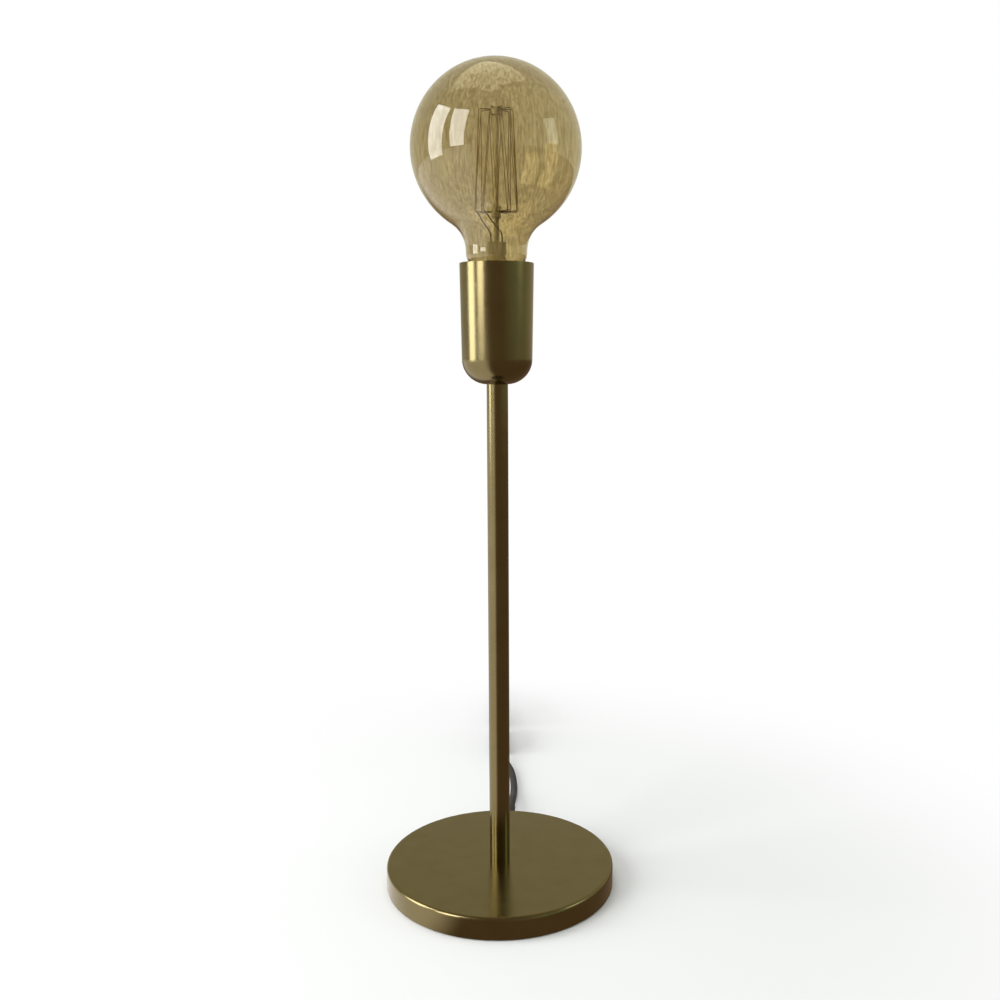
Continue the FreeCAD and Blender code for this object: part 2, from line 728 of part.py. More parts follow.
def glass_profile(inset):
    """Pole, sphere, neck flare, neck and shoulder, as edges from the pole to the neck's end."""
    sphere = number(BULB_RADIUS) - inset
    centre = number(BULB_CENTRE)
    neck = number("size.neck_radius") - inset
    flare = number("size.neck_flare_radius") + inset
    shoulder = number("size.neck_shoulder_radius") - inset
    shoulder_z = number(f"{CUP_RIM} + size.neck_shoulder_above_rim")
    end_radius = number("size.neck_end_radius") - inset
    flare_x = neck + flare
    flare_z = centre - math.sqrt((sphere + flare) ** 2 - flare_x ** 2)
    toward = Vector(flare_x, 0, flare_z - centre).normalize()
    meet = Vector(0, 0, centre) + toward * sphere
    half_way = Vector(math.cos(math.pi / 8), 0, math.sin(math.pi / 8)) * sphere + Vector(0, 0, centre)
    flare_mid = Vector(flare_x, 0, flare_z) + (Vector(-1, 0, 0) - toward).normalize() * flare
    shoulder_x = neck - shoulder
    drop = math.sqrt(shoulder ** 2 - (end_radius - shoulder_x) ** 2)
    turn = math.atan2(drop, end_radius - shoulder_x) / 2
    pole = Vector(0, 0, centre + sphere)
    waist = Vector(neck, 0, flare_z)
    brim = Vector(neck, 0, shoulder_z)
    bend = Vector(math.cos(turn), 0, -math.sin(turn)) * shoulder
    shoulder_mid = Vector(shoulder_x, 0, shoulder_z) + bend
    seal = Vector(end_radius, 0, shoulder_z - drop)
    return [
        Part.Arc(pole, half_way, meet).toShape(),
        Part.Arc(meet, flare_mid, waist).toShape(),
        Part.LineSegment(waist, brim).toShape(),
        Part.Arc(brim, shoulder_mid, seal).toShape(),
        Part.LineSegment(seal, Vector(end_radius, 0, number(NECK_END))).toShape(),
    ]


def glass_envelope():
    """The blown globe: its outside outline, back along the inside one, turned about Z."""
    outside = glass_profile(0)
    inside = glass_profile(number("size.glass_wall"))
    foot = Part.LineSegment(outside[-1].Vertexes[-1].Point, inside[-1].Vertexes[-1].Point).toShape()
    axis = Part.LineSegment(inside[0].Vertexes[0].Point, outside[0].Vertexes[0].Point).toShape()
    return turned_solid(Part.__sortEdges__(outside + [foot] + inside + [axis]))


bulb_glass = feature("bulb_glass", glass_envelope())

SEAL_RADIUS = "(size.neck_end_radius - size.glass_wall)"
TRUMPET_HEIGHT = f"({CUP_RIM} + size.trumpet_above_rim)"
TRUMPET_FLOOR = f"({PINCH_BOTTOM} - size.flare_wall)"
trumpet = revolved("mount_trumpet", (
    ("size.trumpet_top_radius", PINCH_BOTTOM),
    ("size.trumpet_radius", TRUMPET_HEIGHT),
    (SEAL_RADIUS, NECK_END),
    (f"{SEAL_RADIUS} - size.flare_wall", NECK_END),
    ("size.trumpet_radius - size.flare_wall", TRUMPET_HEIGHT),
    ("size.trumpet_top_radius - size.flare_wall", TRUMPET_FLOOR),
    ("size.exhaust_radius", TRUMPET_FLOOR),
    ("size.exhaust_radius", PINCH_BOTTOM),
))
pinch_sides = [
    upright(
        f"pinch_side_{side}", "size.pinch_depth / 2", "size.pinch_height",
        x=f"{sign}(size.pinch_width - size.pinch_depth) / 2", z=PINCH_BOTTOM,
    )
    for side, sign in (("left", "-"), ("right", ""))
]
pinch_core = block(
    "pinch_core", "size.pinch_width - size.pinch_depth", "size.pinch_depth", "size.pinch_height",
    y="-size.pinch_depth / 2", z=PINCH_BOTTOM,
)
glass_mount = joined("glass_mount", trumpet, pinch_core, *pinch_sides)
exhaust_tube = ring(
    "exhaust_tube", "size.exhaust_radius", "size.exhaust_radius - size.exhaust_wall",
    "size.exhaust_length", f"({PINCH_BOTTOM} - size.exhaust_length)",
)
BUTTON_BOTTOM = f"({ROD_TOP} - size.button_height)"
glass_rod = joined(
    "glass_rod",
    upright("rod_stick", "size.rod_radius", "size.rod_length", z=PINCH_TOP),
    upright("rod_button", "size.button_radius", "size.button_height", z=BUTTON_BOTTOM),
    upright("rod_hub", "size.hub_radius", "size.hub_height", z=HUB_BOTTOM),
)
doc.recompute()


def spoke(start, end, radius):
    """A straight piece of wire with a ball at its far end."""
    along = end - start
    return Part.makeCylinder(radius, along.Length, start, along).fuse(Part.makeSphere(radius, end))


def at(radius, angle, height):
    """A point by radius, angle in radians and height."""
    return Vector(radius * math.cos(angle), radius * math.sin(angle), height)


def filament_corners():
    """Low and top hook points, one after the other round the cage, open at the seam."""
    steps = 2 * round(number("size.strand_pairs"))
    first = math.radians(number("size.seam_angle + size.seam_gap / 2"))
    step = math.radians(number("360 - size.seam_gap")) / steps
    low = number("size.low_ring_radius"), number(f"{HUB_TOP} - size.hub_height / 2")
    top = number("size.top_ring_radius"), number(f"{ROD_TOP} - size.top_ring_drop")
    corners = []
    for index in range(steps + 1):
        radius, height = top if index % 2 else low
        corners.append(at(radius, first + step * index, height))
    return corners


def filament_wire(corners):
    """The filament drawn up and down between the hooks, not closed behind."""
    radius = number("size.filament_radius")
    pieces = [spoke(start, end, radius) for start, end in zip(corners, corners[1:])]
    return Part.makeSphere(radius, corners[0]).multiFuse(pieces)


def hook_set(corners, hub_radius):
    """Support wires from the glass out to the filament's corners, each ending just short of it."""
    radius = number("size.hook_wire_radius")
    short = number("size.filament_radius + size.wire_gap") + radius
    hooks = []
    for corner in corners:
        out = Vector(corner.x, corner.y, 0).normalize()
        root = out * hub_radius + Vector(0, 0, corner.z)
        hooks.append(spoke(root, corner - out * short, radius))
    return Part.Compound(hooks)


cage = filament_corners()
filament = feature("filament", filament_wire(cage))
low_hooks = feature("low_hooks", hook_set(cage[2:-1:2], number("size.hub_radius")))
top_hooks = feature("top_hooks", hook_set(cage[1::2], number("size.button_radius")))


def lead(sign, corner):
    """A lead wire from the pinch up to an end of the filament."""
    radius = number("size.lead_wire_radius")
    foot = Vector(sign * number("size.lead_spread"), 0, number(PINCH_TOP))
    knee = foot + Vector(0, 0, number("size.lead_knee_height"))
    short = radius + number("size.filament_radius + size.wire_gap")
    end = corner + (knee - corner).normalize() * short
    return swept(route_path([foot, knee, end])[0], radius)


lead_wires = feature("lead_wires", Part.Compound([lead(-1, cage[-1]), lead(1, cage[0])]))

# ---------------------------------------------------------------- cord inside the lamp

EXIT_TURN = Rotation(Vector(0, 0, 1), -number("size.exit_angle"))
SHEATH_END = f"({CLAMP_START} - size.sheath_past_clamp)"
RELIEF_INNER = f"({BASE_RADIUS} - size.cover_wall - size.relief_flange)"
RELIEF_TIP = f"({BASE_RADIUS} + size.relief_length)"


def core(side):
    """One insulated core from the clamp, under the nut, up the threaded tube to its terminal."""
    apart = side * number("size.core_spread")
    terminal = side * number("size.terminal_offset")
    low = number("size.pad_thickness + 1.5 * size.core_radius")
    sheath_end = number(SHEATH_END)
    height = number("size.cord_exit_height")
    start = EXIT_TURN.multVec(Vector(apart, sheath_end, height))
    dip = EXIT_TURN.multVec(Vector(apart, sheath_end - 5, height))
    bottom = Vector(apart, number("size.nut_flats") / 2 + 2, low)
    return [
        start, dip, bottom, Vector(apart, 0.3, low), Vector(apart, 0, number(TUBE_BOTTOM) + 12),
        Vector(apart, 0, number(TUBE_TOP) + 1),
        Vector(terminal, 0, number(BLOCK_BOTTOM) - 4), Vector(terminal, 0, number(TERMINAL_HEIGHT) + 1.5),
    ]


live_core = feature("live_core", wire("live_core", number("size.core_radius"), core(-1)))
neutral_core = feature("neutral_core", wire("neutral_core", number("size.core_radius"), core(1)))
inner_sheath = turned("inner_sheath", lying(
    "sheath_end", CORD_RADIUS, f"{RELIEF_TIP} - {SHEATH_END}", y=SHEATH_END,
    z="size.cord_exit_height",
))
EXIT = "size.cord_exit_height"
relief_body = joined(
    "relief_body",
    lying(
        "relief_inner_flange", "size.relief_flange_radius", "size.relief_flange - 3 * size.fit_gap",
        y=RELIEF_INNER, z=EXIT,
    ),
    lying(
        "relief_neck", "size.relief_neck_radius - size.fit_gap",
        "size.relief_flange + size.cover_wall", y=RELIEF_INNER, z=EXIT,
    ),
    lying(
        "relief_collar", "size.relief_flange_radius", "size.relief_flange",
        y=f"{BASE_RADIUS} + size.fit_gap", z=EXIT,
    ),
    lying_cone(
        "relief_taper", "size.relief_radius", "size.relief_tip_radius", "size.relief_length",
        y=BASE_RADIUS, z=EXIT,
    ),
)
relief_bore = lying(
    "relief_bore", f"{CORD_RADIUS} + 0.02", f"{RELIEF_TIP} - {RELIEF_INNER}",
    y=RELIEF_INNER, z=EXIT,
)
strain_relief = turned("strain_relief", less("relief_sleeve", relief_body, relief_bore))

# ---------------------------------------------------------------- free cord

SWITCH_MIDDLE = "(size.switch_height / 2)"
SWITCH_END = "(size.switch_start + size.switch_length)"
LANE = number("size.hank_centre")
LYING = number(CORD_RADIUS)


def cord_route():
    """The free cord's corners: out of the strain relief, down to the table, round to the switch."""
    height = number("size.cord_exit_height")
    tip = number(RELIEF_TIP)
    inlet = number(SWITCH_MIDDLE)
    start = number("size.switch_start")
    return [
        EXIT_TURN.multVec(Vector(0, tip, height)),
        EXIT_TURN.multVec(Vector(0, tip + 12, height)),
        Vector(10.7, 119, 3.2),
        Vector(11.3, 133, LYING),
        Vector(11, 147, LYING),
        Vector(10.2, 160, LYING),
        Vector(7.8, 171, LYING + 0.3),
        Vector(3.6, 181.5, 5.6),
        Vector(LANE, start - 10, inlet),
        Vector(LANE, start, inlet),
    ]


cord_free = feature("cord_free", wire("cord_free", number(CORD_RADIUS), cord_route()))

# ---------------------------------------------------------------- hank


def biarc(start, start_way, end, end_way):
    """Two arcs that leave start along start_way and reach end along end_way."""
    chord = end - start
    ways = start_way + end_way
    lead = 2 * (1 - start_way.dot(end_way))
    along = chord.dot(ways)
    if abs(lead) < 1e-9:
        reach = chord.dot(chord) / (4 * chord.dot(end_way))
    else:
        reach = (-along + math.sqrt(along ** 2 + lead * chord.dot(chord))) / lead
    knee_1 = start + start_way * reach
    knee_2 = end - end_way * reach
    joint = (knee_1 + knee_2) * 0.5
    return [arc_through(start, start_way, joint), arc_through(end, end_way * -1, joint)]


def arc_through(start, way, end):
    """The arc, or straight run, that leaves start along way and passes through end."""
    chord = end - start
    side = chord - way * chord.dot(way)
    if side.Length < 1e-6:
        return Part.LineSegment(start, end).toShape()
    side.normalize()
    radius = chord.dot(chord) / (2 * chord.dot(side))
    centre = start + side * radius
    middle = (start + end) * 0.5 - centre
    middle.normalize()
    if way.dot(chord) < 0:
        middle = middle * -1
    return Part.Arc(start, centre + middle * radius, end).toShape()


def hank_stations():
    """Where the hank's cord passes, and which way it points there, from the switch to the plug.

    Three lanes lie side by side. The inner loops have the fold radius and the outer ones are
    one pitch larger, and all are drawn in to the middle, where the tie is.
    """
    pitch = number("size.hank_pitch")
    fold = {"in": number("size.hank_fold_radius")}
    fold["out"] = fold["in"] + pitch
    waist = {"in": pitch / 2, "out": pitch * 1.5}
    near = number("size.hank_start")
    far = near + number("size.hank_run")
    middle = (near + far) / 2
    axis = fold["out"] + LYING
    back, front, up, down = Vector(0, 1, 0), Vector(0, -1, 0), Vector(0, 0, 1), Vector(0, 0, -1)

    def stop(lane, y, z, way):
        stations.append((Vector(LANE + (lane - 1) * pitch, y, axis + z), way))

    stations = []
    outlet = number(SWITCH_END)
    straight = number("size.cord_diameter")
    stations.append((Vector(LANE, outlet, number(SWITCH_MIDDLE)), back))
    stations.append((Vector(LANE, outlet + straight, number(SWITCH_MIDDLE)), back))
    loops = (
        (0, "out", "out", "out", "in", 0),
        (0, "in", "in", "in", "in", 1),
        (1, "in", "in", "in", "in", 2),
        (2, "in", "out", "out", "out", 2),
    )
    for lane, low, high, belt, last, next_lane in loops:
        stop(lane, near, -fold[low], back)
        stop(lane, middle, -waist[low], back)
        stop(lane, far, -fold[low], back)
        stop(lane, far + (fold[low] + fold[high]) / 2, (fold[high] - fold[low]) / 2, up)
        stop(lane, far, fold[high], front)
        stop(next_lane, middle, waist[belt], front)
        stop(next_lane, near, fold[last], front)
        stop(next_lane, near - fold[last], 0, down)
    stop(2, near, -fold["out"], back)
    stop(2, middle, -waist["out"], back)
    stop(2, far, -fold["out"], back)
    boot = number("size.plug_start - size.plug_boot_length")
    plug_middle = number("size.plug_height / 2")
    stations.append((Vector(LANE, boot - straight, plug_middle), back))
    stations.append((Vector(LANE, boot, plug_middle), back))
    return stations


def hank_path():
    """The hank's path as one wire of straight runs and biarcs."""
    edges = []
    stations = hank_stations()
    for (start, start_way), (end, end_way) in zip(stations, stations[1:]):
        if (end - start).cross(start_way).Length < 1e-6:
            edges.append(Part.LineSegment(start, end).toShape())
        else:
            edges += biarc(start, start_way, end, end_way)
    return Part.Wire(Part.__sortEdges__(edges))


def least_gap(path, diameter):
    """The least distance between two turns' surfaces, measured on points along the path."""
    count = int(path.Length / 1.5)
    points = path.discretize(count)
    step = path.Length / (count - 1)
    skip = int(4 * diameter / step)
    return min(
        a.distanceToPoint(b)
        for index, a in enumerate(points)
        for b in points[index + skip:]
    ) - diameter


hank_line = hank_path()
cord_hank = feature("cord_hank", swept(hank_line, number(CORD_RADIUS)))
hank_share = cord_hank.Shape.Volume / (math.pi * number(CORD_RADIUS) ** 2 * hank_line.Length)
hank_bends = [edge.Curve.Radius for edge in hank_line.Edges if isinstance(edge.Curve, Part.Circle)]
hank_gap = least_gap(hank_line, number("size.cord_diameter"))
print(f"cord_hank: length {hank_line.Length:.1f}, least bend {min(hank_bends):.1f}")
print(f"cord_hank: volume share {hank_share:.4f}, least gap to itself {hank_gap:.2f}")

WAIST_WIDTH = "(size.hank_pitch + size.cord_diameter / 2 + size.tie_gap)"
WAIST_HEIGHT = "(size.hank_pitch * 1.5 + size.cord_diameter / 2 + size.tie_gap)"
HANK_MIDDLE = "(size.hank_start + size.hank_run / 2)"
HANK_AXIS = "(size.hank_fold_radius + size.hank_pitch + size.cord_diameter / 2)"
ALONG_X, ALONG_Y = Vector(1, 0, 0), Vector(0, 1, 0)
tie_outside = softened("tie_outside", block(
    "tie_block", f"2 * ({WAIST_WIDTH} + size.tie_thickness)", "size.tie_width",
    f"2 * ({WAIST_HEIGHT} + size.tie_thickness)", "size.hank_centre",
    f"{HANK_MIDDLE} - size.tie_width / 2", f"{HANK_AXIS} - {WAIST_HEIGHT} - size.tie_thickness",
), "size.cord_diameter / 2", ALONG_Y)
tie_inside = softened("tie_inside", block(
    "tie_opening", f"2 * {WAIST_WIDTH}", "size.tie_width", f"2 * {WAIST_HEIGHT}",
    "size.hank_centre", f"{HANK_MIDDLE} - size.tie_width / 2", f"{HANK_AXIS} - {WAIST_HEIGHT}",
), "size.cord_diameter / 2 - size.tie_thickness", ALONG_Y)
hank_tie = less("hank_tie", tie_outside, tie_inside)

# ---------------------------------------------------------------- switch on the cord

HALF_THICK = "(size.switch_thickness / 2)"
PIVOT_X = f"(size.hank_centre + {HALF_THICK} + size.rocker_proud - size.rocker_thickness / 2)"
PIVOT_Y = "(size.switch_start + size.switch_length / 2)"
INSIDE_LENGTH = "(size.switch_length - 2 * size.switch_wall)"
INSIDE_HEIGHT = "(size.switch_height - 2 * size.switch_wall)"
INSIDE_DEPTH = f"({HALF_THICK} - size.switch_wall)"
WINDOW_LENGTH = "(size.rocker_length + 2 * size.window_gap)"
WINDOW_HEIGHT = "(size.rocker_height + 2 * size.window_gap)"
WINDOW_BOTTOM = f"({SWITCH_MIDDLE} - {WINDOW_HEIGHT} / 2)"


def switch_half(name, sign):
    """One hollow half of the switch housing, on either side of the parting plane."""
    outside = softened(f"{name}_outside", block(
        f"{name}_block", HALF_THICK, "size.switch_length", "size.switch_height",
        x=f"size.hank_centre {sign} {HALF_THICK} / 2", y="size.switch_start",
    ), "size.switch_corner", ALONG_X)
    inside = block(
        f"{name}_inside", INSIDE_DEPTH, INSIDE_LENGTH, INSIDE_HEIGHT,
        x=f"size.hank_centre {sign} {INSIDE_DEPTH} / 2", y="size.switch_start + size.switch_wall",
        z="size.switch_wall",
    )
    return less(f"{name}_hollow", outside, softened(
        f"{name}_cavity", inside, "size.switch_corner - size.switch_wall", ALONG_X,
    ))


switch_case = group("switch_case", switch_half("case", "-"))
window = block(
    "rocker_window", HALF_THICK, WINDOW_LENGTH, WINDOW_HEIGHT,
    f"size.hank_centre + {HALF_THICK}", f"{PIVOT_Y} - {WINDOW_LENGTH} / 2", WINDOW_BOTTOM,
)
cover_shell = less("switch_lid_open", switch_half("lid", "+"), window)
EAR_REACH = f"({HALF_THICK} - 2 * size.ear_gap)"
pivot_ears = [
    block(
        f"pivot_ear_{side}", EAR_REACH, "size.ear_length", "size.ear_thickness",
        f"size.hank_centre + {EAR_REACH} / 2 + size.ear_gap", f"{PIVOT_Y} - size.ear_length / 2", level,
    )
    for side, level in (
        ("low", f"{WINDOW_BOTTOM} - size.ear_thickness"),
        ("high", f"{WINDOW_BOTTOM} + {WINDOW_HEIGHT}"),
    )
]
PIN_LENGTH = f"({WINDOW_HEIGHT} + 2 * size.pin_reach)"
PIN_BOTTOM = f"({WINDOW_BOTTOM} - size.pin_reach)"
pivot_bore = upright("pivot_bore", "size.pivot_radius", PIN_LENGTH, PIVOT_X, PIVOT_Y, PIN_BOTTOM)
switch_lid = less("switch_lid", joined("lid_and_ears", cover_shell, *pivot_ears), pivot_bore)
rocker_pin = upright(
    "rocker_pin", "size.pivot_radius - size.pin_gap", PIN_LENGTH, PIVOT_X, PIVOT_Y, PIN_BOTTOM,
)
rocker_bar = softened("rocker_bar", block(
    "rocker_block", "size.rocker_thickness", "size.rocker_length", "size.rocker_height",
    y="-size.rocker_length / 2", z="-size.rocker_height / 2",
), "size.rocker_corner", Vector(0, 0, 1))
rocker_hole = upright(
    "rocker_hole", "size.pivot_radius + size.pivot_gap", "size.rocker_height",
    z="-size.rocker_height / 2",
)
rocker = group("rocker", less("rocker_drilled", rocker_bar, rocker_hole))
rocker.setExpression("Placement.Rotation.Angle", "size.rocker_tilt")
place(rocker, PIVOT_X, PIVOT_Y, SWITCH_MIDDLE)
CONTACT_FACE = f"(size.hank_centre - {HALF_THICK} + size.switch_wall + size.leaf_thickness)"
switch_contacts = group("switch_contacts", *(
    joined(
        f"contact_{side}",
        block(
            f"contact_leaf_{side}", "size.leaf_thickness", "size.leaf_length", "size.leaf_height",
            f"{CONTACT_FACE} - size.leaf_thickness / 2", f"{PIVOT_Y} + {leaf_start}",
            f"{SWITCH_MIDDLE} - size.leaf_height / 2",
        ),
        lying(
            f"contact_post_{side}", "size.post_radius", "size.post_length",
            f"{CONTACT_FACE} + size.post_radius / 2", f"{PIVOT_Y} + {post_start}", SWITCH_MIDDLE,
        ),
    )
    for side, leaf_start, post_start in (
        ("front", "(-size.leaf_length - size.leaf_gap)", "(-size.post_length - 2 * size.leaf_gap)"),
        ("rear", "size.leaf_gap", "2 * size.leaf_gap"),
    )
))

# ---------------------------------------------------------------- plug

PLUG_MIDDLE = "(size.plug_height / 2)"
plug_block = softened("plug_block", block(
    "plug_box", "size.plug_thickness", "size.plug_length", "size.plug_height",
    x="size.hank_centre", y="size.plug_start",
), "size.plug_corner", ALONG_Y)
BLADE_START = "(size.plug_start + size.plug_length - size.blade_root)"
blade_parts = []
for side, sign in (("low", "-"), ("high", "+")):
    level = f"{PLUG_MIDDLE} {sign} size.blade_spacing / 2"
    blade = block(
        f"blade_{side}", "size.blade_width", "size.blade_root + size.blade_length",
        "size.blade_thickness", "size.hank_centre", BLADE_START, f"{level} - size.blade_thickness / 2",
    )
    eye = upright(
        f"blade_eye_{side}", "size.blade_hole_radius", "size.blade_thickness", "size.hank_centre",
        f"{BLADE_START} + size.blade_root + size.blade_hole_distance",
        f"{level} - size.blade_thickness / 2",
    )
    blade_parts.append(less(f"blade_drilled_{side}", blade, eye))
plug_blades = group("plug_blades", *blade_parts)
plug_slots = joined("plug_slots", *(
    block(
        f"slot_{side}", "size.blade_width", "size.blade_root", "size.blade_thickness",
        "size.hank_centre", BLADE_START,
        f"{PLUG_MIDDLE} {sign} size.blade_spacing / 2 - size.blade_thickness / 2",
    )
    for side, sign in (("low", "-"), ("high", "+"))
))
plug_body = less("plug_body", plug_block, plug_slots)
plug_boot = lying_cone(
    "plug_boot", "size.plug_boot_tip_radius", "size.plug_boot_radius", "size.plug_boot_length",
    "size.hank_centre", "size.plug_start - size.plug_boot_length", PLUG_MIDDLE,
)

# ---------------------------------------------------------------- check and write

SUB_PARTS = (
    base_cover, base_weight, base_pad, base_washer, base_nut, cord_clamp, clamp_screws,
    threaded_tube, stem_tube, cup, cup_washer, cup_nut,
    holder_base, terminal_block, terminal_screws, holder_barrel, thread_shell,
    centre_contact, side_contact, bulb_cap, cap_insulator, cap_contact,
    bulb_glass, glass_mount, exhaust_tube, glass_rod, filament, low_hooks, top_hooks, lead_wires,
    live_core, neutral_core, inner_sheath, strain_relief, cord_free, cord_hank, hank_tie,
    switch_case, switch_lid, rocker, rocker_pin, switch_contacts,
    plug_body, plug_blades, plug_boot,
)
doc.recompute()
broken = [item.Name for item in doc.Objects if {"Invalid", "Error"} & set(item.State)]
for item in SUB_PARTS:
    if item.Shape.isNull() or not item.Shape.isValid() or not item.Shape.Solids:
        broken.append(item.Label)
if broken:
    raise RuntimeError(f"these objects failed: {', '.join(broken)}")
os.makedirs("parts", exist_ok=True)
for item in SUB_PARTS:
    item.Shape.exportStep(f"parts/{item.Label}.step")
print(f"{len(SUB_PARTS)} sub-parts, {sum(len(item.Shape.Solids) for item in SUB_PARTS)} solids")
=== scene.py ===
import math

import bmesh
import bpy
import numpy as np
from mathutils import Matrix, Vector


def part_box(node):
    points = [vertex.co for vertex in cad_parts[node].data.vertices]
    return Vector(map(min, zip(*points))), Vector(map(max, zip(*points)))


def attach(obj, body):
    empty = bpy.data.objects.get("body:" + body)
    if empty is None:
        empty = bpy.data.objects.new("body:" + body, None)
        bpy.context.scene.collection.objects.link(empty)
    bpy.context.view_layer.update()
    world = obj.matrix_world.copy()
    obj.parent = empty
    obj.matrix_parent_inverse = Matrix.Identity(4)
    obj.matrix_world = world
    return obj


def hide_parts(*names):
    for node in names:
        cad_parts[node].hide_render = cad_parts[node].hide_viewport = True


# A bare bulb table lamp: satin brass base, stem and cup, a globe bulb with a wound filament, and
# a black braided cord put away in a tied hank behind it. All sizes are metres in the part's frame.

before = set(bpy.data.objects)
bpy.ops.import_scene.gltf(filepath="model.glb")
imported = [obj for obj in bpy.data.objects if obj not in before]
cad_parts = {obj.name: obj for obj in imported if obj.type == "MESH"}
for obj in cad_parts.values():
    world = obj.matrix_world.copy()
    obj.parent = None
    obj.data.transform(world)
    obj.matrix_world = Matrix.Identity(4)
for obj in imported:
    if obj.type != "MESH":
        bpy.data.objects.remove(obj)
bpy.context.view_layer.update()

MM = 0.001

# ---------------------------------------------------------------- sizes read from the frame

CUP_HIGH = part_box("cup")[1]
GLASS_LOW, GLASS_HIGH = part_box("bulb_glass")
CAP_LOW, CAP_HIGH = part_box("bulb_cap")
SHELL_LOW, SHELL_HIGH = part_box("thread_shell")
CASE_LOW, CASE_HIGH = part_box("switch_case")
BOOT_LOW, BOOT_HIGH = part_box("plug_boot")
PLUG_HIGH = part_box("plug_body")[1]

# ---------------------------------------------------------------- colours and nodes


def linear(code):
    """An sRGB hex colour as a linear RGBA tuple."""
    parts = [int(code[index:index + 2], 16) / 255 for index in (1, 3, 5)]
    low = [part / 12.92 for part in parts]
    high = [((part + 0.055) / 1.055) ** 2.4 for part in parts]
    return tuple(a if part <= 0.04045 else b for part, a, b in zip(parts, low, high)) + (1.0,)


def add(tree, kind, links=None, **settings):
    """A node with its settings; links maps an input's name or number to an output or a value."""
    node = tree.nodes.new(kind)
    for name, value in settings.items():
        setattr(node, name, value)
    for name, value in (links or {}).items():
        if isinstance(value, bpy.types.NodeSocket):
            tree.links.new(value, node.inputs[name])
        else:
            node.inputs[name].default_value = value
    return node


def material(name, colour, metallic, roughness):
    """A Principled material and its shader node."""
    made = bpy.data.materials.new(name)
    made.use_nodes = True
    shader = made.node_tree.nodes["Principled BSDF"]
    shader.inputs["Base Color"].default_value = linear(colour)
    shader.inputs["Metallic"].default_value = metallic
    shader.inputs["Roughness"].default_value = roughness
    return made, made.node_tree, shader


def mottled(tree, shader, size, low, high):
    """Base colour that drifts between two tones over patches of a real size in metres."""
    place = add(tree, "ShaderNodeTexCoord").outputs["Object"]
    noise = add(tree, "ShaderNodeTexNoise", {"Vector": place, "Scale": 1 / size, "Detail": 4.0})
    ramp = add(tree, "ShaderNodeMix", {"Factor": noise.outputs["Fac"]}, data_type="RGBA")
    ramp.inputs[6].default_value = linear(low)
    ramp.inputs[7].default_value = linear(high)
    tree.links.new(ramp.outputs[2], shader.inputs["Base Color"])
    return place, noise


def bumped(tree, shader, height, depth, strength=1.0):
    """A bump of a real depth in metres from a 0 to 1 height."""
    bump = add(tree, "ShaderNodeBump", {"Height": height, "Distance": depth, "Strength": strength})
    tree.links.new(bump.outputs["Normal"], shader.inputs["Normal"])


def varied(tree, shader, fac, low, high):
    """Roughness that follows a 0 to 1 value."""
    span = add(tree, "ShaderNodeMapRange", {"Value": fac, "To Min": low, "To Max": high})
    tree.links.new(span.outputs["Result"], shader.inputs["Roughness"])


def satin_brass():
    """Steel and cast parts in a brass-coloured satin lacquer: dark olive-gold, clean highlights."""
    made, tree, shader = material("satin brass lacquer", "#7E7350", 1.0, 0.2)
    place, patches = mottled(tree, shader, 0.012, "#786C48", "#867B58")
    grit = add(tree, "ShaderNodeTexNoise", {"Vector": place, "Scale": 1 / 0.0009, "Detail": 3.0})
    bumped(tree, shader, grit.outputs["Fac"], 0.00003, 0.6)
    varied(tree, shader, patches.outputs["Fac"], 0.16, 0.26)
    return made


def cast_iron():
    """Grey iron as cast: dark, grainy and dull."""
    made, tree, shader = material("grey cast iron", "#3A3A3C", 1.0, 0.7)
    grain = mottled(tree, shader, 0.002, "#2E2E30", "#4A4A4C")[1]
    bumped(tree, shader, grain.outputs["Fac"], 0.0002)
    return made


def foam_rubber():
    """Fine black foam rubber: matt, with small closed cells."""
    made, tree, shader = material("foam rubber pad", "#1C1C1D", 0.0, 0.95)
    cells = mottled(tree, shader, 0.0012, "#151516", "#29292A")[1]
    bumped(tree, shader, cells.outputs["Fac"], 0.0001)
    return made


def zinc_plate():
    """Steel with a bright zinc plate, slightly spangled."""
    made, tree, shader = material("zinc plated steel", "#B9BCBD", 1.0, 0.32)
    spangle = mottled(tree, shader, 0.003, "#A9ADAF", "#C8CACA")[1]
    varied(tree, shader, spangle.outputs["Fac"], 0.25, 0.42)
    return made


def stamped_brass():
    """Bare brass strip, stamped: yellow and fairly bright."""
    made, tree, shader = material("stamped brass", "#D8B36A", 1.0, 0.28)
    mottled(tree, shader, 0.004, "#CBA45B", "#E0BE7C")
    return made


def thermoset():
    """Black moulded thermoset: hard and a little glossy."""
    made, tree, shader = material("black thermoset moulding", "#191817", 0.0, 0.38)
    mottled(tree, shader, 0.006, "#151413", "#211F1D")
    return made


def cap_metal():
    """Rolled aluminium cap of the bulb: pale grey, satin."""
    made, tree, shader = material("rolled aluminium cap", "#C9C7C1", 1.0, 0.3)
    mottled(tree, shader, 0.004, "#BDBBB4", "#D3D1CB")
    return made


def fused_glass():
    """Dark fused glass insulator of the cap: near black, glossy."""
    made, tree, shader = material("dark fused glass", "#141118", 0.0, 0.12)
    mottled(tree, shader, 0.003, "#100E14", "#1F1A26")
    return made


